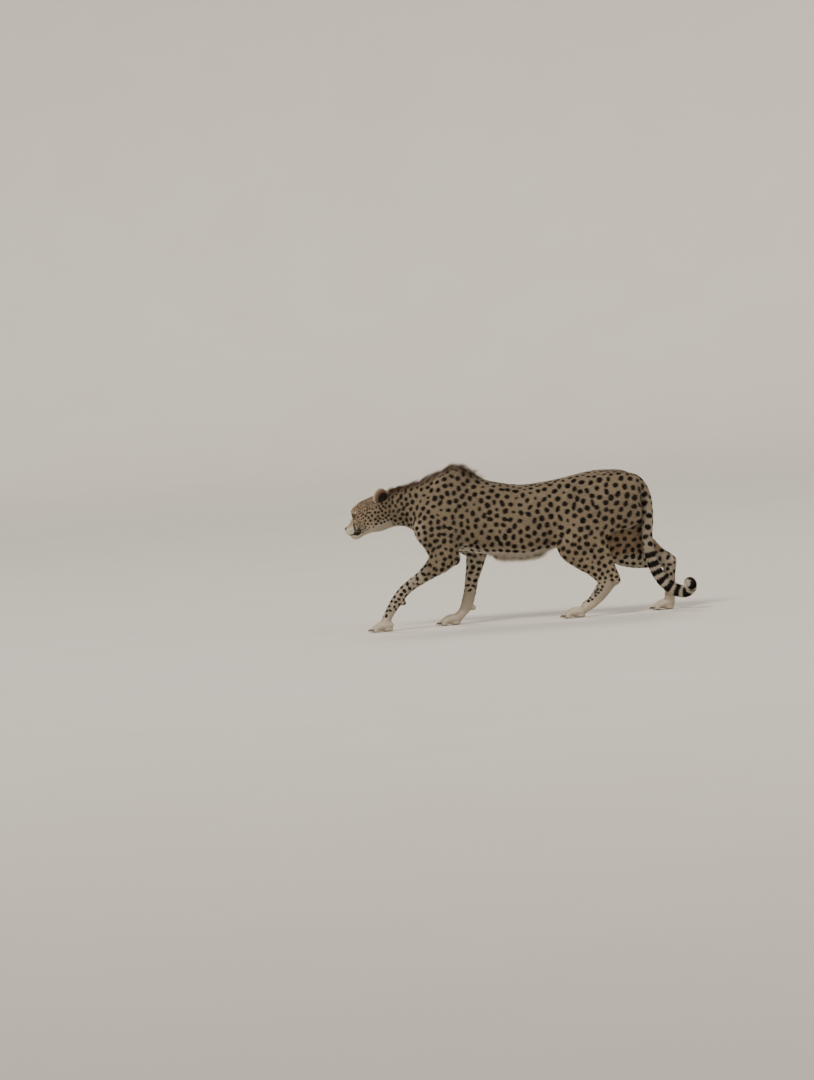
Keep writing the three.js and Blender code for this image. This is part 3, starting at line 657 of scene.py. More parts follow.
def splitLong(verts, tris, longest):
    # halves every edge longer than the length wanted there, and parts the triangles to match
    edges, sides = edgesOf(tris)
    middle = verts[edges].mean(1)
    cut = np.linalg.norm(verts[edges[:, 0]] - verts[edges[:, 1]], axis=1) > longest(middle)
    number = np.full(len(edges), -1)
    number[cut] = len(verts) + np.arange(cut.sum())
    made = []
    m = number[sides]
    has = m >= 0
    code = has @ (1, 2, 4)
    made.append(tris[code == 0])
    for turn in range(3):
        order = [turn, (turn + 1) % 3, (turn + 2) % 3]
        t, n = tris[:, order], m[:, order]
        one = code == (1 << turn)
        a, b, c, x = t[one, 0], t[one, 1], t[one, 2], n[one, 0]
        made += [np.stack([a, x, c], 1), np.stack([x, b, c], 1)]
        two = code == ((1 << turn) | (1 << (turn + 1) % 3))
        a, b, c, x, y = t[two, 0], t[two, 1], t[two, 2], n[two, 0], n[two, 1]
        made += [np.stack([x, b, y], 1), np.stack([a, x, y], 1), np.stack([a, y, c], 1)]
    a, b, c = tris[code == 7].T
    x, y, z = m[code == 7].T
    made += [np.stack(f, 1) for f in ((a, x, z), (x, b, y), (z, y, c), (x, y, z))]
    return np.concatenate([verts, middle[cut]]), np.concatenate(made)


def sumAt(index, rows, n):
    # adds up the rows that go to each of n places
    return np.stack([np.bincount(index, column, n) for column in rows.T], 1)


def neighbourSum(edges, rows):
    a, b = edges.T
    return sumAt(a, rows[b], len(rows)) + sumAt(b, rows[a], len(rows))


def even(verts, tris, share):
    # slides every vertex towards the middle of its neighbours
    edges, _ = edgesOf(tris)
    count = np.bincount(edges.ravel(), minlength=len(verts))
    return verts + share * (neighbourSum(edges, verts) / count[:, None] - verts)


def vertexNormals(verts, tris):
    p = verts[tris]
    face = np.cross(p[:, 1] - p[:, 0], p[:, 2] - p[:, 0])
    total = sum(sumAt(corner, face, len(verts)) for corner in tris.T)
    return total / np.maximum(np.linalg.norm(total, axis=1, keepdims=True), 1e-12)


def makeSkin():
    lines = skinGrid["lines"]
    values = closePinches(sampleGrid(skinDistance, lines, skinGrid["coarse"], skinGrid["near"]))
    verts, tris = surfaceNets(values, lines)
    verts = pullOn(skinDistance, verts)
    for _ in range(2):
        verts, tris = splitLong(verts, tris, wantedEdge)
        verts = pullOn(skinDistance, even(verts, tris, 0.4), 1.5)
    return verts, tris


def wantedEdge(p):
    # fine round the eyes, nose and lips, less so over the rest of the head and the toes
    q = toHead(p)
    fromEye = np.stack([q[:, 0] - eye["back"] + 8, np.abs(q[:, 1]) - eye["out"] - 6, q[:, 2] - eye["up"]], 1)
    eyes = np.linalg.norm(fromEye, axis=1)
    nose = np.linalg.norm(q - (2, 0, 0), axis=1)
    head = np.linalg.norm(q - (95, 0, 10), axis=1)
    fine = np.minimum(2.0 + 4.2 * ease(eyes, 17, 30), 1.9 + 4.3 * ease(nose, 18, 34))
    fine = fine + 6.0 * ease(head, 100, 150)
    for hand in (left, right):
        middle = np.linalg.norm(toEar(q, hand) - (0, 0, 16), axis=1)
        fine = np.minimum(fine, 3.2 + 5.0 * ease(middle, 38, 46))
    return np.minimum(fine, 8.5 + 3.5 * ease(p[:, 2], 34, 60))


# what lies where on the skin

def unit(v):
    return v / np.maximum(np.linalg.norm(v, axis=-1, keepdims=True), 1e-9)


def alongSkin(way, normal):
    # the part of each arrow that lies flat on the skin, one long
    return unit(way - normal * (way * normal).sum(1, keepdims=True))


def limbHeading(limb, place):
    path = limb["path"][:, :3]
    step = unit(np.diff(path, axis=0))
    return step[np.minimum(place.astype(int), len(step) - 1)]


napePlane = {"point": (-473, 14, 462), "back": (0.95, -0.25, 0.16)}  # the head lies before it


def surveySkin(verts, tris):
    # for every vertex: how near it is to each part, and the way the coat lies
    n = len(verts)
    x, _, z = verts.T
    q = toHead(verts)
    side = np.where(verts[:, 1] < 0, left, right)
    info = {"head": q, "normal": vertexNormals(verts, tris)}
    trunk = barrelDistance(verts)
    flow = np.stack([np.ones(n), np.zeros(n), -0.22 - 0.5 * ease(x, -250, -360) * ease(z, 430, 360)], 1)
    weight = np.maximum(np.exp(-np.maximum(trunk, 0) / 14), 0.3) * ease(z, 210, 260)
    heading = weight[:, None] * flow
    near = {}
    for kind, top in (("arm", 330), ("thigh", 300)):
        near[kind] = np.full(n, 1e9)
        for hand in (left, right):
            limb = limbs[kind + sideName[hand].capitalize()]
            d, place = alongLimb(verts, limb)
            near[kind] = np.minimum(near[kind], np.where(side == hand, d, 1e9))
            weight = np.exp(-np.maximum(d, 0) / 12) * ease(z, top + 40, top - 110) * 1.6
            heading += weight[:, None] * limbHeading(limb, place)
    legGap = np.minimum(near["arm"], near["thigh"])
    tailGap, place = alongLimb(verts, limbs["tail"])
    info["tailPlace"] = place / (len(limbs["tail"]["path"]) - 1)
    info["tail"] = (tailGap + 4 < np.minimum(trunk, legGap)) & ((z < 462) | (x > 486))
    heading[info["tail"]] = limbHeading(limbs["tail"], place)[info["tail"]]
    nape = (verts - napePlane["point"]) @ unit(np.array(napePlane["back"]))
    info["isHead"] = (nape < 0) & (z > 300)
    info["onHead"] = ease(nape, 14, -14) * (z > 300)
    ahead = ease(q[:, 0], 46, 20)  # the coat fans out from the nose
    sideways = np.sign(q[:, 1]) * (0.12 + 0.9 * ahead * ease(np.abs(q[:, 1]), 2, 14))
    flow = np.stack([1 - 0.75 * ahead, sideways, -0.12 - 0.25 * ahead], 1) @ headTurn.T
    heading = heading * (1 - info["onHead"][:, None]) + flow * info["onHead"][:, None] * 2
    info["ear"] = np.zeros(n)
    info["earPlace"] = np.zeros((n, 3))
    for hand in (left, right):
        p = toEar(q, hand)
        on = (earDistance(q, hand) < 2.5) & (p[:, 2] > 4) & (np.linalg.norm(q - (110, 0, 0), axis=1) > 70)
        info["ear"][on] = hand
        info["earPlace"][on] = p[on]
        heading[on] = (earTurn[hand] @ np.array([0.0, 0.0, 1.0])) @ headTurn.T
    foot = ease(z, 60, 34) * ~info["tail"]
    heading = heading * (1 - foot[:, None]) + np.array([-1.0, 0, -0.45]) * foot[:, None]
    lay = unit(heading)
    edges, _ = edgesOf(tris)
    for _ in range(6):  # smooths the way the coat lies and keeps it flat on the skin
        lay = alongSkin(lay, info["normal"])
        lay = unit(lay + neighbourSum(edges, lay))
    info["lay"] = alongSkin(lay, info["normal"])
    info["limb"] = (legGap < trunk - 6) & (z < 330) & ~info["tail"] & ~info["isHead"]
    inward = ease(-info["normal"][:, 1] * side, 0.15, 0.65)
    info["inner"] = inward * ease(z, 330, 280) * ~info["tail"]
    return info


def smoothNoise(p, size, seed):
    # soft blotches about `size` millimetres across: a sum of waves in seeded directions
    rng = np.random.default_rng(seed)
    total = np.zeros(len(p))
    for _ in range(14):
        way = rng.normal(size=3)
        way /= np.linalg.norm(way)
        pitch = size * rng.uniform(1.4, 3.2)
        total += np.sin(p @ way * (2 * math.pi / pitch) + rng.uniform(0, 2 * math.pi))
    return total / 14**0.5


# markings

spots = {
    "seed": 41,
    "tries": 40000,
    "gap": 2.16,  # least distance between two spots, in radii, before they are evened out
    "rounds": 8,
    "apart": 2.0,  # least distance, in radii, after that
    "turn": 14.0,  # millimetres that a turn of the skin counts for, which parts the two sides of a leg
    "size": (1.1, 0.09, 0.8, 1.3),  # mean, spread, least and most, as shares of the radius planned
    "few": 0.1,  # the share that stay small
    "small": 0.66,
    "reach": 0.445,  # the most of the way to its neighbour that a spot takes up, so they do not touch
    "stretch": 0.12,
    "skew": 0.35,
    "short": 0.88,  # spots are made shorter along the coat, since hairs carry them on past their end
    "neck": 0.74,  # length over width, upright on the neck
    "body": 0.94,
    "face": 1.15,
    "ridge": (0.36, 0.8),  # how much smaller and how much longer they are along the back
    "leg": (10.8, 4.2),  # radius high on a leg, and how much of it is lost down to the paw
    "forearm": 9.0,
    "head": (3.0, 2.4),  # radius on the head, and how much more on the cheek
    "tail": 11.4,
}
# where the tail's bands start, as a share of its length, then widths: of the bands, dark end and pale tip
rings = {"from": 0.5, "black": 23.0, "white": 12.0, "tip": 56.0, "pale": 15.0, "uneven": 2.0}
# x, then the spots' radius on the trunk there
spotRadii = np.array([(-520, 5.6), (-440, 7.4), (-390, 8.8), (-300, 9.7),
                      (-150, 10.2), (60, 10.6), (250, 11.0), (440, 11.2)])


def spotPlan(p, info):
    # radius along the coat, radius across it, and 0 where there are no spots; all in millimetres
    x, z = p[:, 0], p[:, 2]
    normal, q = info["normal"], info["head"]
    radius = np.interp(x, spotRadii[:, 0], spotRadii[:, 1])
    long = np.full(len(p), spots["body"])
    ridge = ease(normal[:, 2], 0.55, 0.9) * (z > 480) * (x > -430)  # small and drawn out along the back
    radius = radius * (1 - spots["ridge"][0] * ridge)
    long = long + spots["ridge"][1] * ridge
    long = np.where((x < -350) & (z > 380), spots["neck"], long)
    most, less = spots["leg"]
    radius = np.where(info["limb"], most - less * ease(z, 330, 70) * info["limb"], radius)
    radius = np.where(info["limb"] & (x < 0) & (z > 220), np.minimum(radius, spots["forearm"]), radius)
    cheek = ease(q[:, 0], 74, 140) * ease(q[:, 2], 44, 18)
    radius = np.where(info["isHead"], spots["head"][0] + spots["head"][1] * cheek, radius)
    long = np.where(info["isHead"], spots["face"], long)
    radius = np.where(info["tail"], spots["tail"], radius)
    show = np.ones(len(p))
    show[(normal[:, 2] < -0.93) & (z > 200)] = 0  # belly
    show[info["inner"] > 0.5] = 0.6
    show[(info["inner"] > 0.5) & (z < 120)] = 0
    show[z < 34] = 0
    muzzle = (q[:, 0] < 60) | (q[:, 2] < -38)
    forehead = (np.abs(q[:, 1]) < 24) & (q[:, 2] > 26) & (q[:, 0] < 72)
    show[info["isHead"] & (muzzle | forehead)] = 0
    show = show * np.where(info["isHead"] & (q[:, 2] > 14) & (q[:, 0] < 104), 0.35, 1)  # few above the eye
    show[info["ear"] != 0] = 0
    show[info["tail"] & (info["tailPlace"] > rings["from"] + 0.02)] = 0
    front = ease(-normal[:, 0], -0.2, 0.3)  # the lower legs keep their spots longest in front
    thin = info["limb"] * np.where(x > 60, ease(z, 165, 115), ease(z, 100, 60))
    show = show * (1 - thin * (1 - 0.6 * front)) * ~((z < 52) & info["limb"])
    return radius * long**0.5, radius / long**0.5, show


def nearestOf(points, targets, scale):
    # the row of the target nearest to each point, distances counted in each target's own scale
    rows = []
    for part in np.array_split(points, max(1, len(points) * len(targets) // 4000000)):
        apart = (part**2).sum(1)[:, None] - 2 * part @ targets.T + (targets**2).sum(1)
        rows.append(np.argmin(apart / scale**2, axis=1))
    return np.concatenate(rows)


def seedSpots(verts, tris, info):
    # darts thrown over the skin with the least gap kept; each then moves to the middle of its patch
    rng = np.random.default_rng(spots["seed"])
    p = verts[tris]
    area = np.linalg.norm(np.cross(p[:, 1] - p[:, 0], p[:, 2] - p[:, 0]), axis=1)
    along, across, show = spotPlan(verts, info)
    size = np.sqrt(along * across)
    weight = np.bincount(tris.ravel(), np.repeat(area, 3), len(verts)) * show / np.square(size)
    point = np.hstack([verts, spots["turn"] * info["normal"]])

    def spaced(rows, places, least):
        # drops each row that comes too near an earlier one, counted in their mean radius
        kept = []
        for n in rows:
            gap = np.linalg.norm(places[kept] - places[n], axis=1) / (0.5 * (size[kept] + size[n]))
            if not (gap < least).any():
                kept.append(n)
        return np.array(kept)

    keep = spaced(rng.choice(len(verts), spots["tries"], p=weight / weight.sum()), verts, spots["gap"])
    shown = np.flatnonzero(show > 0.02)
    where = point[keep]
    for _ in range(spots["rounds"]):
        own = nearestOf(point[shown], where, size[keep])
        total = np.bincount(own, weight[shown], len(keep)) + 1e-9
        middle = sumAt(own, weight[shown][:, None] * point[shown], len(keep)) / total[:, None]
        where = np.where(total[:, None] > 1e-6, middle, where)
    keep = spaced(shown[nearestOf(where, point[shown], np.ones(len(shown)))], point, spots["apart"])
    mean, spread, least, most = spots["size"]
    scale = np.clip(rng.normal(mean, spread, len(keep)), least, most)
    scale = np.where(rng.random(len(keep)) < spots["few"], scale * spots["small"], scale)
    gap = np.linalg.norm(verts[keep][:, None] - verts[keep][None], axis=2) + 999 * np.eye(len(keep))
    gap = gap / (0.5 * (size[keep][:, None] + size[keep][None]))
    scale = np.minimum(scale, spots["reach"] * np.maximum(gap.min(1), 1.4))
    stretch = np.exp(rng.normal(0, spots["stretch"], len(keep)))
    way, normal = info["lay"][keep], info["normal"][keep]
    turn = rng.normal(0, spots["skew"], len(keep))[:, None]
    way = unit(way * np.cos(turn) + np.cross(normal, way) * np.sin(turn))
    sizes = [along[keep] * scale * stretch * spots["short"], across[keep] * scale / stretch]
    return {"centre": verts[keep], "way": way, "normal": normal, "sizes": np.stack(sizes, 1)}


def spotDistance(p, made):
    # how far inside the nearest spot a point is, in millimetres; below 0 outside
    order = np.argsort(made["centre"][:, 0])
    centre, way, normal, sizes = (made[k][order] for k in ("centre", "way", "normal", "sizes"))
    across = np.cross(normal, way)
    best = np.full(len(p), -12.0)
    rows = np.argsort(p[:, 0])
    for part in np.array_split(rows, 240):
        lo, hi = np.searchsorted(centre[:, 0], [p[part, 0].min() - 24, p[part, 0].max() + 24])
        if lo == hi:
            continue
        offset = p[part][:, None] - centre[None, lo:hi]
        u = (offset * way[lo:hi]).sum(-1) / sizes[lo:hi, 0]
        v = (offset * across[lo:hi]).sum(-1) / sizes[lo:hi, 1]
        w = (offset * normal[lo:hi]).sum(-1) / (sizes[lo:hi, 1] * 1.6)
        inside = (1 - np.sqrt(u * u + v * v + w * w)) * sizes[lo:hi].min(1)
        best[part] = np.maximum(best[part], inside.max(1))
    return best


def alongTail(info):
    # millimetres along the tail, and its whole length
    path = limbs["tail"]["path"][:, :3]
    length = np.concatenate([[0], np.cumsum(np.linalg.norm(np.diff(path, axis=0), axis=1))])
    return np.interp(info["tailPlace"] * (len(path) - 1), np.arange(len(path)), length), length[-1]


def tailMarks(p, info, spot, shift):
    # bands round the last half of the tail, their edges a little uneven, then a black end with a pale tip
    run, whole = alongTail(info)
    run = run + shift + rings["uneven"] * smoothNoise(p, 16, 5)
    start, pitch = rings["from"] * whole, rings["black"] + rings["white"]
    phase = (run - start) % pitch
    band = np.minimum(phase, rings["black"] - phase)
    end = whole - run
    band = np.where(end < rings["tip"] + 6, np.minimum(rings["tip"] - end, end - rings["pale"]), band)
    return np.where(run > start - 10, band, spot)


def earBack(info):
    # 1 on the back of an ear, -1 inside its cup
    found = np.zeros(len(info["ear"]))
    for hand in (left, right):
        rear = (earTurn[hand] @ np.array([1.0, 0.0, 0.0])) @ headTurn.T
        found = np.where(info["ear"] == hand, info["normal"] @ rear, found)
    return found


def earRim(info):
    # 0 low in the middle of an ear, 1 near its rim
    place = info["earPlace"]
    return np.hypot(place[:, 1] / ear["width"], (place[:, 2] - ear["length"] * 0.2) / (ear["length"] / 2))


whisker = {"rows": 4, "each": 5, "dots": 4, "length": 60.0, "root": 0.24, "seed": 19, "stray": 0.07,
           "first": (16, -6.5), "apart": 6.4, "nextRow": (1.5, 4.2), "sag": (0.22, 0, -0.16)}


def whiskerRoot(row, i):
    # distance back from the nose tip, and height, of a whisker's root or of a dark dot between them
    back, up = whisker["first"]
    return back + whisker["apart"] * i + whisker["nextRow"][0] * row, up - whisker["nextRow"][1] * row


def faceMarks(q):
    # how far inside the face's dark marks a point is, painted shade at the mouth's corners included, and
    # inside its bare leather; millimetres
    tear = 2.8 + 2.6 * ease(q[:, 2], 14, -14) - pathDistance(q[:, ::2], tearPath)
    lipGap = np.abs(q[:, 2] - np.interp(q[:, 0], mouth[:, 0], mouth[:, 1]) - 1.0)
    # the black lip line, widened near the corner of the mouth into a patch that is partly black lip and
    # partly painted shade on the underside of the muzzle
    lip = 2.2 + 7.5 * ease(q[:, 0], 30, 48) * ease(q[:, 0], 76, 62) - lipGap - 9 * ease(q[:, 0], 66, 76)
    bare = -ellipsoidDistance(q - nosePad["centre"] - (0, 0, 0.5), np.array(nosePad["sizes"]) + 1.2)
    bare = np.minimum(bare, 6 + 11 * ease(q[:, 2], -9, 3) - np.abs(q[:, 1]))
    bare = np.minimum(bare, 15 - q[:, 0])
    roots = np.array([whiskerRoot(row, i) for row in range(whisker["rows"]) for i in range(whisker["dots"])])
    dots = 1.2 - np.linalg.norm(q[:, None, ::2] - roots, axis=2).min(1)
    dark = np.maximum(np.maximum(tear, lip), np.maximum(bare, dots))
    for hand in (left, right):  # the rims of the lids
        opening, across, deep = eyeOpening(q, hand)
        dark = np.maximum(dark, np.where((deep > 0) & (np.abs(across) < 20), 2.9 - opening, -12))
        bare = np.maximum(bare, np.where((deep > 0) & (np.abs(across) < 18), 1.2 - opening, -12))
    return dark, bare


jointMarks = [  # dark tips of the elbows and of the pad behind the wrist: side, x, out, height, radius
    (left, -233, 71, 246, 9.0),
    (right, -121, 72, 270, 9.0),
    (left, -439, 60, 102, 12.0),
]


def markSkin(verts, made, info, shift=0.0):
    # how far inside a dark mark, and inside bare leather; for a tuft, seen `shift` further along the coat
    p = verts + info["lay"] * np.reshape(shift, (-1, 1))
    spot = spotDistance(p, made)
    dark, bare = faceMarks(toHead(p))
    onHead = info["onHead"] > 0.5
    mark = np.where(onHead, np.maximum(spot, dark), spot)
    patch = np.minimum(9 * (0.7 - earRim(info)), info["earPlace"][:, 2] - 2)
    mark = np.where(info["ear"] != 0, np.minimum(patch, 6 * (earBack(info) - 0.3)), mark)
    mark = np.where(info["tail"], tailMarks(p, info, spot, shift), mark)
    for hand, x, out, z, size in jointMarks:
        mark = np.maximum(mark, size - np.linalg.norm(p - (x, out * hand, z), axis=1))
    pads = np.minimum(4.0 - verts[:, 2], 3)
    return mark, np.where(onHead, bare, np.where(verts[:, 2] < 4, pads, -12))


def tintSkin(verts, info):
    # shares of the pale underside, the warm brow and thigh, and the dark mane
    q, down, onHead, isEar = info["head"], -info["normal"][:, 2], info["onHead"], info["ear"] != 0
    x, _, z = verts.T
    thigh = ease(x, 200, 300) * ease(z, 200, 240)
    pale = ease(down, 0.5, 0.95) * (z > 190) * (1 - 0.8 * thigh)
    pale = np.maximum(pale, info["inner"] * (0.75 - 0.45 * thigh))
    pale = np.maximum(pale, ease(z, 210, 75) * 0.78 * ~info["tail"])
    pale = np.maximum(pale, ease(x, -345, -378) * ease(z, 420, 385) * 0.7)
    under = ease(q[:, 2], -16, -36) * onHead
    muzzle = ease(q[:, 0], 66, 40) * ease(q[:, 2], 8, -6) * onHead
    belowEye = np.exp(-(np.square((q[:, 0] - 74) / 15) + np.square((q[:, 2] - 12) / 7)))
    aboveEye = np.exp(-(np.square((q[:, 0] - 74) / 12) + np.square((q[:, 2] - 45) / 6)))
    byEye = 0.75 * np.maximum(belowEye, aboveEye) * (np.abs(q[:, 1]) > 18) * onHead
    face = np.maximum(np.maximum(under, muzzle), byEye)
    pale = np.where(info["isHead"], np.maximum(face, pale * 0.6), pale)
    place = info["tailPlace"]
    pale = np.where(info["tail"], 0.2 + 0.5 * ease(place, 0.08, 0.3) + 0.6 * ease(place, 0.4, 0.52), pale)
    pale = np.where(isEar, 0.1 + 0.75 * ease(earBack(info), 0.1, -0.35), pale)
    warm = ease(q[:, 2], 26, 50) * ease(q[:, 0], 175, 100) * onHead * 0.5
    bridge = ease(q[:, 0], 30, 60) * ease(q[:, 0], 110, 70) * ease(q[:, 2], -4, 14)
    warm = np.maximum(warm, onHead * bridge * 0.55)
    warm = np.maximum(warm, info["inner"] * ease(z, 190, 250) * ease(x, 240, 320) * 1.3)
    mane = maneShare(verts) * np.where(info["isHead"], 0.5, 1.0)
    surround = 0.5 * ease(earRim(info), 1.3, 0.85) * ease(earBack(info), -0.1, 0.4)
    mane = np.where(isEar, surround, mane)
    return np.clip(pale, 0, 1), np.clip(warm, 0, 1.2), np.clip(mane * 1.7, 0, 1)


# into Blender

def inMetres(points):
    return (np.asarray(points) + body["home"]) * 0.001


def newMesh(name, verts, faces, materials, values=None, smooth=True):
    # verts in the animal's millimetres; values are numbers per vertex that the material reads by name
    faces = np.asarray(faces)
    mesh = bpy.data.meshes.new(name)
    mesh.vertices.add(len(verts))
    mesh.vertices.foreach_set("co", inMetres(verts).astype(np.float32).ravel())
    corners = faces.shape[1]
    mesh.loops.add(faces.size)
    mesh.loops.foreach_set("vertex_index", faces.astype(np.int32).ravel())
    mesh.polygons.add(len(faces))
    mesh.polygons.foreach_set("loop_start", np.arange(0, faces.size, corners, dtype=np.int32))
    mesh.polygons.foreach_set("use_smooth", np.full(len(faces), smooth))
    for key, data in (values or {}).items():
        mesh.attributes.new(key, "FLOAT", "POINT").data.foreach_set("value", np.asarray(data, np.float32))
    mesh.update()
    for material in materials:
        mesh.materials.append(material)
    made = bpy.data.objects.new(name, mesh)
    bpy.context.scene.collection.objects.link(made)
    return made


def srgb(code):
    # an sRGB hex colour as linear numbers
    parts = [int(code[i : i + 2], 16) / 255 for i in (1, 3, 5)]
    return [c / 12.92 if c <= 0.04045 else ((c + 0.055) / 1.055) ** 2.4 for c in parts] + [1.0]


def newMaterial(name):
    made = bpy.data.materials.new(name)
    made.use_nodes = True
    made.node_tree.nodes.clear()
    return made, made.node_tree


def add(tree, kind, inputs=None, **settings):
    # a node with its settings; an input is a value, or an output socket to link from
    made = tree.nodes.new(kind)
    for key, value in settings.items():
        setattr(made, key, value)
    for key, value in (inputs or {}).items():
        if isinstance(value, bpy.types.NodeSocket):
            tree.links.new(value, made.inputs[key])
        else:
            made.inputs[key].default_value = value
    return made


def carried(tree, name):
    # a number that the mesh carries, by its name
    return add(tree, "ShaderNodeAttribute", attribute_name=name).outputs["Fac"]


def objectPlace(tree):
    return add(tree, "ShaderNodeTexCoord").outputs["Object"]


def noise(tree, place, scale, detail=2.0):
    inputs = {"Vector": place, "Scale": scale, "Detail": detail}
    return add(tree, "ShaderNodeTexNoise", inputs).outputs["Fac"]


def ramp(tree, value, low, high, top=1.0):
    # 0 below low, the top above high
    inputs = {"Value": value, "From Min": low, "From Max": high, "To Max": top}
    return add(tree, "ShaderNodeMapRange", inputs).outputs["Result"]


def reckon(tree, operation, *values):
    return add(tree, "ShaderNodeMath", dict(enumerate(values)), operation=operation).outputs[0]


def mixed(tree, factor, a, b, blend="MIX"):
    made = add(tree, "ShaderNodeMix", {0: factor, 6: a, 7: b}, data_type="RGBA", blend_type=blend)
    return made.outputs[2]


def mixedNumber(tree, factor, a, b):
    return add(tree, "ShaderNodeMix", {0: factor, 2: a, 3: b}).outputs[0]


def finishMaterial(tree, inputs):
    shader = add(tree, "ShaderNodeBsdfPrincipled", inputs)
    add(tree, "ShaderNodeOutputMaterial", {"Surface": shader.outputs[0]})


coatColours = {  # sRGB, as dry fur in plain daylight
    "buff": "#c8b69b",
    "buffDark": "#b2a188",
    "pale": "#ebe2d2",
    "warm": "#bb9164",
    "black": "#100b08",
    "blackLight": "#201711",
    "mane": "#54341f",
    "leather": "#120f0e",
    "speck": "#6f5d47",
    "fleck": "#f2e8d6",
    # painted shade: the shade down among the hairs, multiplied into the lower half of each tuft
    "root": "#8d7c69",
}


def furColour(tree, onTuft):
    # tawny ground, pale below, rusty brow, black spots with ragged edges; the same sums for skin and tufts
    colour = {name: srgb(code) for name, code in coatColours.items()}
    place = objectPlace(tree)
    blotch = noise(tree, place, 9.0, 3.0)  # 110 mm
    hair = noise(tree, place, 420.0)  # 2.4 mm
    pale = carried(tree, "pale")
    ground = mixed(tree, ramp(tree, blotch, 0.35, 0.68), colour["buff"], colour["buffDark"])
    ground = mixed(tree, carried(tree, "warm"), ground, colour["warm"])
    ground = mixed(tree, pale, ground, colour["pale"])
    calm = reckon(tree, "MULTIPLY_ADD", pale, -0.7, 1.0)  # pale fur is the more even
    if onTuft:
        # painted shade: each tuft is darkened towards its root by the root colour, standing in for the shade
        # deep in the coat
        shaded = mixed(tree, 1.0, ground, colour["root"], "MULTIPLY")
        ground = mixed(tree, ramp(tree, carried(tree, "tip"), 0.55, 0.0), ground, shaded)
        fleck = reckon(tree, "MULTIPLY", carried(tree, "fleck"), calm)
        ground = mixed(tree, fleck, ground, mixed(tree, 0.24, ground, colour["fleck"]))
    speck = reckon(tree, "MULTIPLY", ramp(tree, hair, 0.62, 0.36), calm)
    ground = mixed(tree, speck, ground, mixed(tree, 0.45, ground, colour["speck"]))
    ground = mixed(tree, carried(tree, "mane"), ground, colour["mane"])
    ragged = reckon(tree, "MULTIPLY_ADD", reckon(tree, "ADD", hair, -0.5), 1.1, carried(tree, "mark"))
    black = mixed(tree, ramp(tree, hair, 0.4, 0.7), colour["black"], colour["blackLight"])
    return mixed(tree, ramp(tree, ragged, -0.45, 0.35), ground, black), hair, place


def tuftMaterial():
    # guard hair: dry, matt along its length, with a faint sheen at a glancing angle
    made, tree = newMaterial("guard_hair")
    colour, _, _ = furColour(tree, True)
    finishMaterial(tree, {"Base Color": colour, "Roughness": 0.7, "IOR": 1.5, "Sheen Weight": 0.05,
                          "Sheen Roughness": 0.5, "Specular IOR Level": 0.2})
    return made


def skinMaterial():
    # close short fur, mostly bump, with bare black leather on the nose, lids and pads
    made, tree = newMaterial("short_coat")
    colour, hair, place = furColour(tree, False)
    bare = ramp(tree, carried(tree, "bare"), -0.4, 0.4)
    colour = mixed(tree, bare, colour, srgb(coatColours["leather"]))
    cells = add(tree, "ShaderNodeTexVoronoi", {"Vector": place, "Scale": 700.0})  # leather grain, 1.4 mm
    relief = mixedNumber(tree, bare, hair, reckon(tree, "MULTIPLY", cells.outputs["Distance"], 0.4))
    bump = add(tree, "ShaderNodeBump", {"Height": relief, "Strength": 0.5, "Distance": 0.0012})
    finishMaterial(tree, {"Base Color": colour, "Roughness": mixedNumber(tree, bare, 0.8, 0.48), "IOR": 1.45,
                          "Normal": bump.outputs[0]})
    return made


# the skin piece

print("making the skin")
skinVerts, skinTris = makeSkin()
info = surveySkin(skinVerts, skinTris)
seeds = seedSpots(skinVerts, skinTris, info)
mark, bare = markSkin(skinVerts, seeds, info)
pale, warm, mane = tintSkin(skinVerts, info)
skinValues = {"mark": mark, "bare": bare, "pale": pale, "warm": warm, "mane": mane}
skin = newMesh("skin", skinVerts, skinTris, [skinMaterial()], skinValues)
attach(skin, "root")
flesh = ["head", "neck", "trunk", "tail_root", "tail_middle", "tail_end"]
for name in sideName.values():
    flesh.append("ear_" + name)
    for end in ("fore", "hind"):
        flesh += [end + "leg_" + name + "_" + part for part in ("upper", "lower", "paw")]
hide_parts(*flesh)
print("skin has", len(skinTris), "triangles and", int((mark > 0).sum()), "dark vertices")

# the coat

coat = {
    "seed": 7,
    "spacing": {"body": 2.0, "neck": 1.75, "head": 1.28, "legs": 1.75, "tail": 1.9, "ear": 1.25},
    "length": {"body": 11.0, "neck": 10.0, "legs": 8.0, "paw": 4.6, "head": 6.5, "muzzle": 3.6,
               "tail": 10.0, "tailEnd": 17.0, "ear": 5.5},
    "width": {"body": 1.45, "neck": 1.15, "head": 0.72, "legs": 1.1, "tail": 1.4, "ear": 0.7},
    "sunk": 0.4,
    "keel": 0.42,  # how high a tuft's back is, over its width
    "waist": 0.72,  # width of a long lock half way, as a share
    "fan": 0.15,
    "vary": (0.16, 0.14),  # how much lengths and widths differ
    "stand": (0.35, 0.92),  # how far through the coat's depth the tips reach
    "markShare": 0.55,  # a tuft takes the mark under this share of its length
}


def blended(row, shares):
    # the body's value, moved to each other part's in turn by its share
    value = row["body"]
    for part, share in shares.items():
        if part in row:
            value = value + (row[part] - value) * share
    return value


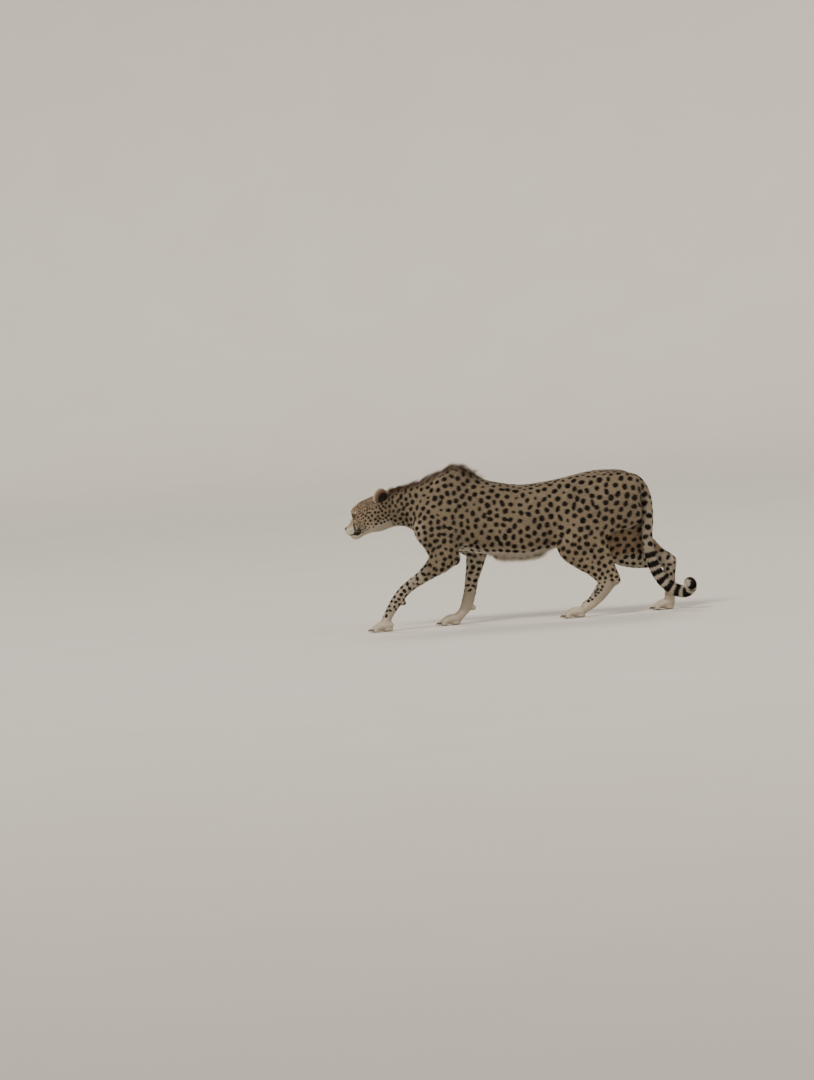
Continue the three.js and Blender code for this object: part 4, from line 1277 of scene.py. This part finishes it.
def coatPlan(verts, info):
    # spacing, length, width and standing depth of the tufts at every vertex
    q, z, onHead, place = info["head"], verts[:, 2], info["onHead"], info["tailPlace"]
    tail, isEar = info["tail"] * 1.0, info["ear"] != 0
    paw = ease(z, 80, 40) * ~info["tail"]
    shares = {
        "neck": ease(verts[:, 0], -260, -380),
        "legs": ease(z, 300, 150) * ~info["tail"],
        "paw": paw,
        "head": onHead,
        "muzzle": ease(q[:, 0], 80, 40) * onHead,
        "tail": tail,
        "tailEnd": tail * ease(place, 0.8, 0.95),
        "ear": isEar * 1.0,
    }
    plan = {key: blended(coat[key], shares) for key in ("spacing", "width", "length")}
    plan["width"] *= 1 - 0.25 * paw
    path = limbs["tail"]["path"]
    thick = np.interp(place * (len(path) - 1), np.arange(len(path)), path[:, 3])
    depth = np.where(info["tail"], thick * (1 - coatLength["tail"]), coatDepth(verts))
    plan["depth"] = np.where(isEar, 1.2, depth)
    return plan


def sowTufts(verts, tris, keep, plan, rng):
    # roots strewn evenly over the kept triangles, with what the skin says there
    p = verts[tris]
    area = np.linalg.norm(np.cross(p[:, 1] - p[:, 0], p[:, 2] - p[:, 0]), axis=1) / 2
    want = keep * area / np.square(plan["spacing"][tris].mean(1))
    count = np.floor(want + rng.random(len(tris))).astype(int)
    pick = np.repeat(np.arange(len(tris)), count)
    bary = rng.dirichlet((1.0, 1.0, 1.0), len(pick))
    return pick, bary


def shortTufts(root, lay, normal, width, tip):
    # a thin spike: a small triangle of a root, laid along the coat, and a point
    across = unit(np.cross(normal, lay))
    half = across * width[:, None] / 2
    base = root - normal * coat["sunk"]
    ridge = base + normal * (coat["keel"] * width[:, None] + coat["sunk"] * 0.5)
    verts = np.stack([base - half, base + half, ridge, tip], 1)
    faces = np.array([(0, 3, 2), (2, 3, 1), (0, 1, 3), (0, 2, 1)])
    return verts, faces, np.array([0.0, 0.0, 0.0, 1.0])


def longTufts(root, lay, normal, width, tip, rise):
    # a lock that bends over: a ring at the root, a ring part of the way, and a point
    across = unit(np.cross(normal, lay))
    middle = root + (tip - root) * 0.5 + rise
    verts = []
    for spot, wide in ((root - normal * coat["sunk"], 1.0), (middle, coat["waist"])):
        half = across * width[:, None] / 2 * wide
        verts += [spot - half, spot + half, spot + normal * coat["keel"] * width[:, None] * wide]
    verts = np.stack(verts + [tip], 1)
    faces = np.array([(0, 3, 5), (0, 5, 2), (2, 5, 4), (2, 4, 1), (1, 4, 3), (1, 3, 0),
                      (3, 6, 5), (5, 6, 4), (4, 6, 3), (0, 2, 1)])
    return verts, faces, np.array([0.0, 0.0, 0.0, 0.5, 0.5, 0.5, 1.0])


def onPath(path, place, columns=3):
    # the row of a limb's path at a place along it
    rows = np.arange(len(path))
    return np.stack([np.interp(place, rows, path[:, k]) for k in range(columns)], 1)


def roundPath(root, limb):
    # how far along a limb each root is, and how far round it
    _, place = alongLimb(root, limb)
    out = root - onPath(limb["path"], place)
    rise = unit(np.cross(limbHeading(limb, place), (0.0, 1.0, 0.0)))
    return place, np.arctan2(out[:, 1], (out * rise).sum(1))


def chartOf(name, root):
    # a root's place on an unwrap of its own stretch of skin, filling the unit square
    if "leg" in name:
        hand = "Left" if "left" in name else "Right"
        u, v = roundPath(root, limbs[("arm" if "fore" in name else "thigh") + hand])
    elif name == "tail":
        u, v = roundPath(root, limbs["tail"])
    elif name == "head":
        q = toHead(root)
        u, v = q[:, 0], np.arctan2(q[:, 1], q[:, 2] - 5)
    elif name.startswith("ear"):
        p = toEar(toHead(root), left if "left" in name else right)
        u, v = p[:, 2], np.arctan2(p[:, 1], p[:, 0] - 1)
    else:
        middle = np.interp(root[:, 0], [-480, -380, 0, 440], [465, 455, 395, 450])
        u, v = root[:, 0], np.arctan2(root[:, 1], root[:, 2] - middle)
    spread = np.stack([u, v], 1)
    spread -= spread.min(0)
    return 0.01 + 0.98 * spread / np.maximum(spread.max(0), 1e-6)


bakePatch = {  # each tuft's corners on its patch of the map, by their number
    4: np.array([(-1, -1), (1, -1), (0, -0.4), (0, 1)]),
    7: np.array([(-1, -1), (1, -1), (0, -1), (-0.7, 0), (0.7, 0), (0, 0), (0, 1)]),
}


def addTufts(name, roots, verts, faces, tipShare, values, rng):
    # one mesh of many tufts: the same few faces for each, and its root's values on all its corners
    n, each = verts.shape[:2]
    tris = (np.array(faces)[None] + np.arange(n)[:, None, None] * each).reshape(-1, 3)
    values = {key: np.repeat(data, each) for key, data in values.items()}
    values["fleck"] = np.repeat(rng.random(n), each)
    values["tip"] = np.tile(tipShare, n)
    verts[:, :, 2] = np.maximum(verts[:, :, 2], 0.4)
    made = newMesh("coat_" + name, verts.reshape(-1, 3), tris, [guardHair], values)
    spot = (chartOf(name, roots)[:, None] + 0.0015 * bakePatch[each]).reshape(-1, 2)
    layer = made.data.uv_layers.new(name="OFBake")
    layer.uv.foreach_set("vector", spot[tris.ravel()].astype(np.float32).ravel())
    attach(made, "root")
    print("coat_" + name, n, "tufts", len(tris), "triangles")
    return made


def growCoat(name, keep, plan, rng, long=None):
    # tufts over one stretch of skin: short ones that lie close, or long locks where `long` says how
    pick, bary = sowTufts(skinVerts, skinTris, keep, plan, rng)
    corners = skinTris[pick]

    def over(values):
        picked = np.asarray(values, float)[corners]
        return (picked * (bary[:, :, None] if picked.ndim == 3 else bary)).sum(1)

    root, normal, lay = over(skinVerts), unit(over(info["normal"])), over(info["lay"])
    lay = alongSkin(lay, normal)
    n = len(root)
    fan = rng.normal(0, coat["fan"] if long is None else long["fan"], n)[:, None]
    lay = lay * np.cos(fan) + np.cross(normal, lay) * np.sin(fan)
    length = over(plan["length"]) * np.exp(rng.normal(0, coat["vary"][0], n))
    width = over(plan["width"]) * np.exp(rng.normal(0, coat["vary"][1], n))
    if long is None:
        stand = over(plan["depth"]) * rng.uniform(*coat["stand"], n)
        tip = root + lay * length[:, None] + normal * stand[:, None]
        tip += normal * np.clip(stand - skinDistance(tip), -length * 0.5, length * 0.5)[:, None]
        shape = shortTufts(root, lay, normal, width, tip)
    else:
        lean = long["lean"]
        clump = smoothNoise(root, 13, 23)  # locks that stand out further, a few centimetres apart
        stray = rng.normal(0, long["stray"], (n, 3))
        stray[:, 0] += 0.12 * clump * long["ragged"]
        way = unit(lay * (1 - lean) + np.array(long["up"]) * lean + stray)
        length = length * (1 + 0.3 * long["ragged"] * clump)
        tip = root + way * length[:, None]
        past = long["past"] + 5 * long["ragged"] * clump
        tip -= way * np.clip(fleshDistance(tip) - past, 0, length * 0.8)[:, None]
        shape = longTufts(root, lay, normal, width, tip, normal * (length * long["bend"])[:, None])
    values = {key: over(data) for key, data in tuftValues.items()}
    if name not in regions and name != "mane":
        values["mark"], values["pale"] = np.full(n, -12.0), np.full(n, 0.9)
    return addTufts(name, root, *shape, values, rng)


def oneCorner(values):
    return np.asarray(values)[skinTris[:, 0]]


guardHair = tuftMaterial()
rng = np.random.default_rng(coat["seed"])
plan = coatPlan(skinVerts, info)
tuftMark, _ = markSkin(skinVerts, seeds, info, plan["length"] * coat["markShare"])
tuftValues = {"mark": tuftMark, "pale": pale, "warm": warm, "mane": mane}
middle = skinVerts[skinTris].mean(1)
furred = (oneCorner(bare) < -0.3) * 1.0
isTail, isEar = oneCorner(info["tail"]), oneCorner(info["ear"]) != 0
isHead = oneCorner(info["isHead"]) & ~isEar
isLimb = oneCorner(info["limb"]) & ~isTail & ~isHead
isBody = ~(isTail | isEar | isHead | isLimb)
regions = {"head": isHead, "tail": isTail, "neck": isBody & (middle[:, 0] < -350)}
for hand in (left, right):
    name = "_" + sideName[hand]
    near = (middle[:, 1] < 0) == (hand == left)
    regions["ear" + name] = oneCorner(info["ear"]) == hand
    regions["foreleg" + name] = isLimb & near & (middle[:, 0] < 60)
    regions["hindleg" + name] = isLimb & near & (middle[:, 0] >= 60)
    for place, (a, b) in {"shoulder": (-350, -90), "flank": (-90, 190), "rump": (190, 700)}.items():
        regions[place + name] = isBody & near & (middle[:, 0] >= a) & (middle[:, 0] < b)
for name, keep in regions.items():
    growCoat(name, keep * furred, plan, rng)

crestLength = 13 + 19 * ease(skinVerts[:, 0], -540, -330)
# Each kind of lock: where it grows, how far its tips may stand past the solids' surface, which way they are
# drawn and how strongly, and how much they stray one by one and in clumps.
locks = {
    "mane": {
        "share": maneShare(skinVerts),
        "spacing": 2.3, "length": crestLength, "width": 1.3, "fan": 0.3, "bend": 0.08,
        "past": 4.0, "up": (0.25, 0.0, 1.0), "lean": 0.56, "stray": 0.12, "ragged": 1.6},
    "fringe": {
        "share": fringeShare(skinVerts) * ease(info["normal"][:, 2], 0.1, -0.4),
        "spacing": 2.4, "length": 26.0, "width": 1.1, "fan": 0.25, "bend": 0.05,
        "past": 2.0, "up": (0.1, 0.0, -1.0), "lean": 0.55, "stray": 0.1, "ragged": 0.6},
}
for hand in (left, right):
    cup = (info["ear"] == hand) * ease(-earBack(info), 0.1, 0.6) * ease(info["earPlace"][:, 2], 44, 28)
    ahead = -(earTurn[hand] @ np.array([1.0, 0.0, 0.0])) @ headTurn.T
    locks["earhair_" + sideName[hand]] = {
        "share": cup, "spacing": 1.9, "length": 16.0, "width": 0.7, "fan": 0.3, "bend": 0.05, "past": 200.0,
        "up": ahead, "lean": 0.35, "stray": 0.07, "ragged": 0.0}
for name, lock in locks.items():
    share = oneCorner(lock["share"])
    longPlan = {key: lock[key] * np.ones(len(skinVerts)) for key in ("spacing", "length", "width")}
    growCoat(name, furred * share * (share > 0.12), longPlan, rng, lock)

# eyes, claws and whiskers

eyeBall = {"radius": 15.9, "bulge": 1.2, "bulgeWide": 26, "rings": 37, "turns": 48}
irisStops = [(0.0, "#020202"), (0.145, "#030202"), (0.165, "#3f240b"), (0.24, "#8f5a1c"), (0.36, "#87531b"),
             (0.43, "#472a10"), (0.475, "#130c08"), (1.0, "#1b120d")]


def eyeMaterial():
    # wet glassy eye: amber iris with fine radial fibres, round pupil and dark rim, under a clear tear film
    made, tree = newMaterial("wet_eye")
    off = carried(tree, "off")
    spin = add(tree, "ShaderNodeAttribute", attribute_name="spin").outputs["Vector"]
    iris = add(tree, "ShaderNodeValToRGB", {"Fac": off})
    for place, _ in irisStops[1:-1]:
        iris.color_ramp.elements.new(place)
    for element, (place, code) in zip(iris.color_ramp.elements, irisStops):
        element.position, element.color = place, srgb(code)
    fibre = ramp(tree, noise(tree, spin, 9.0, 3.0), 0.35, 0.65, ramp(tree, off, 0.15, 0.22, 0.5))
    colour = mixed(tree, fibre, iris.outputs[0], srgb("#2a1605"))
    finishMaterial(tree, {"Base Color": colour, "Roughness": 0.4, "Specular IOR Level": 0.0,
                          "Coat Weight": 0.8, "Coat Roughness": 0.03, "Coat IOR": 1.38})
    return made


def closedTube(grid, first, last):
    # verts and outward triangles of a tube of rings, closed by a point at each end
    rows, turns = grid.shape[:2]
    i, j = np.meshgrid(np.arange(rows - 1), np.arange(turns), indexing="ij")
    a, b = (i * turns + j).ravel(), (i * turns + (j + 1) % turns).ravel()
    here = np.arange(turns)
    after = (here + 1) % turns
    end = (rows - 1) * turns
    tris = np.vstack([
        np.stack([a, b, b + turns], 1), np.stack([a, b + turns, a + turns], 1),
        np.stack([np.full(turns, rows * turns), after, here], 1),
        np.stack([np.full(turns, rows * turns + 1), end + here, end + after], 1),
    ])
    return np.vstack([grid.reshape(-1, 3), first, last]), tris


def makeEye(side, material):
    # a ball turned about the line of sight, with a slight bulge of the cornea over the iris
    gaze = eyeAxes(side)[2]
    level = unit(np.cross(gaze, (0, 0, 1.0)))
    rise = np.cross(level, gaze)
    off = np.linspace(0, 180, eyeBall["rings"])[1:-1]
    spin = np.linspace(0, 2 * math.pi, eyeBall["turns"], endpoint=False)
    swell = eyeBall["radius"] + eyeBall["bulge"] * np.exp(-np.square(off / eyeBall["bulgeWide"]))
    t, s = np.meshgrid(np.radians(off), spin, indexing="ij")
    around = np.cos(s)[..., None] * level + np.sin(s)[..., None] * rise
    grid = swell[:, None, None] * (np.cos(t)[..., None] * gaze + np.sin(t)[..., None] * around)
    front, back = gaze * (eyeBall["radius"] + eyeBall["bulge"]), -gaze * eyeBall["radius"]
    verts, tris = closedTube(grid, front, back)
    values = {"off": np.concatenate([np.repeat(off, len(spin)), [0, 180]]) / 90}
    verts = fromHead(verts + eyeMiddle(side))
    made = newMesh("eye_" + sideName[side] + "_ball", verts, tris[:, ::-1], [material], values)
    fibres = np.stack([np.cos(s), np.sin(s), t * 0.4], -1).reshape(-1, 3)
    layer = made.data.attributes.new("spin", "FLOAT_VECTOR", "POINT").data
    layer.foreach_set("vector", np.vstack([fibres, np.zeros((2, 3))]).astype(np.float32).ravel())
    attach(made, "root")
    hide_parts("eye_" + sideName[side])


def sweep(points, radii, turns):
    # a closed tapering rod along points, round in section, with a point at each end
    points = np.asarray(points, float)
    step = unit(np.gradient(points, axis=0))
    level = unit(np.cross(step, (0.13, 0.2, 1.0)))
    rise = np.cross(level, step)
    s = np.linspace(0, 2 * math.pi, turns, endpoint=False)
    ring = np.cos(s)[None, :, None] * level[:, None] + np.sin(s)[None, :, None] * rise[:, None]
    grid = points[:, None] + np.asarray(radii)[:, None, None] * ring
    return closedTube(grid, points[0] - step[0] * radii[0] * 0.5, points[-1] + step[-1] * radii[-1] * 0.8)


def joinParts(parts):
    verts, tris, start = [], [], 0
    for partVerts, partTris in parts:
        verts.append(partVerts)
        tris.append(partTris + start)
        start += len(partVerts)
    return np.vstack(verts), np.vstack(tris)


claw = {"length": 9.5, "root": 2.9, "tip": 0.5, "drop": 6.5, "height": 11.0, "past": 4.2, "rows": 8,
        "turns": 12}


def clawMaterial():
    # worn horn: streaked dark and pale, half polished by the ground
    made, tree = newMaterial("claw_horn")
    streak = noise(tree, objectPlace(tree), 900.0)  # 1.1 mm
    colour = mixed(tree, streak, srgb("#2a221c"), srgb("#6d5b48"))
    finishMaterial(tree, {"Base Color": colour, "Roughness": 0.38, "IOR": 1.54})
    return made


def makeClaws(end, side, material):
    x, y = paws[(end, side)]
    t = np.linspace(-0.25, 1, claw["rows"])
    radii = claw["tip"] + (claw["root"] - claw["tip"]) * np.sqrt(1 - np.maximum(t, 0) ** 2 * 0.98)
    parts = []
    for place, tip in toeTips(x):
        across = np.full(claw["rows"], y * side + place * toe["spread"])
        line = [tip - claw["past"] - claw["length"] * t, across, claw["height"] - claw["drop"] * t**2]
        parts.append(sweep(np.stack(line, 1), radii, claw["turns"]))
    verts, tris = joinParts(parts)
    made = newMesh("claws_" + end + "_" + sideName[side], verts, tris, [material])
    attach(made, "root")
    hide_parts(*["claw_" + end + "_" + sideName[side] + "_" + str(i) for i in (1, 2, 3, 4)])


def whiskerMaterial():
    # stiff pale bristle, smooth and slightly glossy
    made, tree = newMaterial("whisker_bristle")
    finishMaterial(tree, {"Base Color": srgb("#e6dccb"), "Roughness": 0.35, "IOR": 1.55})
    return made


def makeWhiskers(material):
    # rows of bristles on the pads, swept back and a little down
    rng = np.random.default_rng(whisker["seed"])
    parts = []
    for side in (left, right):
        for row in range(whisker["rows"]):
            for i in range(whisker["each"]):
                back, up = whiskerRoot(row, i)
                start = np.array([back, 40.0 * side, up])
                inward = np.array([0, -side, 0.0])
                for _ in range(24):
                    start = start + inward * max(float(skinDistance(fromHead(start[None]))[0]), 0) * 0.9
                start = start + inward * 1.0
                way = np.array([0.35 + 0.12 * i, side * (1.0 - 0.06 * i), 0.08 - 0.16 * row])
                way = unit(way + rng.normal(0, whisker["stray"], 3))
                length = whisker["length"] * (0.5 + 0.12 * i) * rng.uniform(0.8, 1.1)
                t = np.linspace(0, 1, 9)[:, None]
                points = start + way * length * t + np.array(whisker["sag"]) * length * t**2
                parts.append(sweep(fromHead(points), whisker["root"] * (1.05 - t[:, 0]), 5))
    verts, tris = joinParts(parts)
    made = newMesh("whiskers", verts, tris, [material])
    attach(made, "root")


wetEye, horn = eyeMaterial(), clawMaterial()
for side in (left, right):
    makeEye(side, wetEye)
    for end in ("fore", "hind"):
        makeClaws(end, side, horn)
makeWhiskers(whiskerMaterial())
print("eyes, claws and whiskers made")

# studio

studio = {
    "floor": "#d9d5cd",
    "shade": "#d3cfc6",
    "flat": 20.0,  # metres of flat floor around the animal
    "curve": 5.0,  # radius of the floor's upward curve
    "wall": 16.0,
    "lens": 173.3,
    "distance": 19.76,
    "aim": (-421.5, 0.0, 338.5),
    "look": -2.5,  # degrees below the horizon
    "roll": 4.2,
}


def paperBackdrop():
    # unprinted matt studio paper, barely mottled
    made, tree = newMaterial("studio_paper")
    mottle = noise(tree, objectPlace(tree), 1.5)  # 670 mm
    colour = mixed(tree, mottle, srgb(studio["floor"]), srgb(studio["shade"]))
    finishMaterial(tree, {"Base Color": colour, "Roughness": 0.95, "Specular IOR Level": 0.1})
    return made


def revolve(profile, turns):
    # a profile of (radius, height) carried round the upright axis
    angle = np.linspace(0, 2 * math.pi, turns, endpoint=False)
    r, z = np.array(profile).T
    z = np.repeat(z[:, None], turns, 1)
    grid = np.stack([r[:, None] * np.cos(angle), r[:, None] * np.sin(angle), z], -1)
    i, j = np.meshgrid(np.arange(len(r) - 1) * turns, np.arange(turns), indexing="ij")
    k = (j + 1) % turns
    quads = np.stack([i + j, i + k, i + turns + k, i + turns + j], -1).reshape(-1, 4)
    return grid.reshape(-1, 3), quads[:, ::-1]


def makeStage():
    flat, curve = studio["flat"], studio["curve"]
    bend = np.linspace(0, math.pi / 2, 24)
    profile = [(0.001, 0.0), (2.0, 0.0), (8.0, 0.0)]
    profile += [(flat + curve * math.sin(a), curve * (1 - math.cos(a))) for a in bend]
    verts, quads = revolve(profile + [(flat + curve, studio["wall"])], 96)
    newMesh("studio_floor", verts * 1000 - body["home"], quads, [paperBackdrop()])


def makeCamera():
    # looks along +Y and a little down, rolled so that the ground runs as it does where the animal walks
    pitch, roll = math.radians(studio["look"]), math.radians(studio["roll"])
    ahead = np.array([0.0, math.cos(pitch), math.sin(pitch)])
    over = np.array([0.0, -math.sin(pitch), math.cos(pitch)])
    across = np.array([1.0, 0.0, 0.0])
    side = across * math.cos(roll) - over * math.sin(roll)
    up = across * math.sin(roll) + over * math.cos(roll)
    place = inMetres(studio["aim"]) - ahead * studio["distance"]
    data = bpy.data.cameras.new("camera")
    data.lens = studio["lens"]
    data.sensor_width = 36
    data.clip_start, data.clip_end = 0.5, 120
    made = bpy.data.objects.new("camera", data)
    rows = [[*row, p] for row, p in zip(np.stack([side, up, -ahead], 1), place)]
    made.matrix_world = Matrix(rows + [[0, 0, 0, 1]])
    bpy.context.scene.collection.objects.link(made)
    bpy.context.scene.camera = made


lights = {
    "sky": "#eef1f4",
    "skyStrength": 0.55,
    "suns": {  # the way the light goes, its strength, its spread in degrees and its colour
        "key": ((0.55, 0.75, -0.9), 2.4, 18, "#fff4e6"),
        "fill": ((-0.8, 0.6, -0.5), 0.7, 60, "#eaf1ff"),
        "back": ((0.1, -1.0, -0.8), 1.5, 25, "#fff1e0"),
    },
}


def addSun(name, direction, strength, spread, colour):
    data = bpy.data.lights.new(name, "SUN")
    data.energy, data.angle, data.color = strength, math.radians(spread), srgb(colour)[:3]
    made = bpy.data.objects.new(name, data)
    made.rotation_mode = "QUATERNION"
    made.rotation_quaternion = Vector(direction).to_track_quat("-Z", "Y")
    made.visible_glossy = spread < 40  # a broad light would show as a disc in the wet eyes
    bpy.context.scene.collection.objects.link(made)


def makeLights():
    world = bpy.data.worlds.new("studio")
    world.use_nodes = True
    sky = world.node_tree.nodes["Background"].inputs
    sky["Color"].default_value = srgb(lights["sky"])
    sky["Strength"].default_value = lights["skyStrength"]
    bpy.context.scene.world = world
    for name, row in lights["suns"].items():
        addSun(name, *row)


makeStage()
makeCamera()
makeLights()
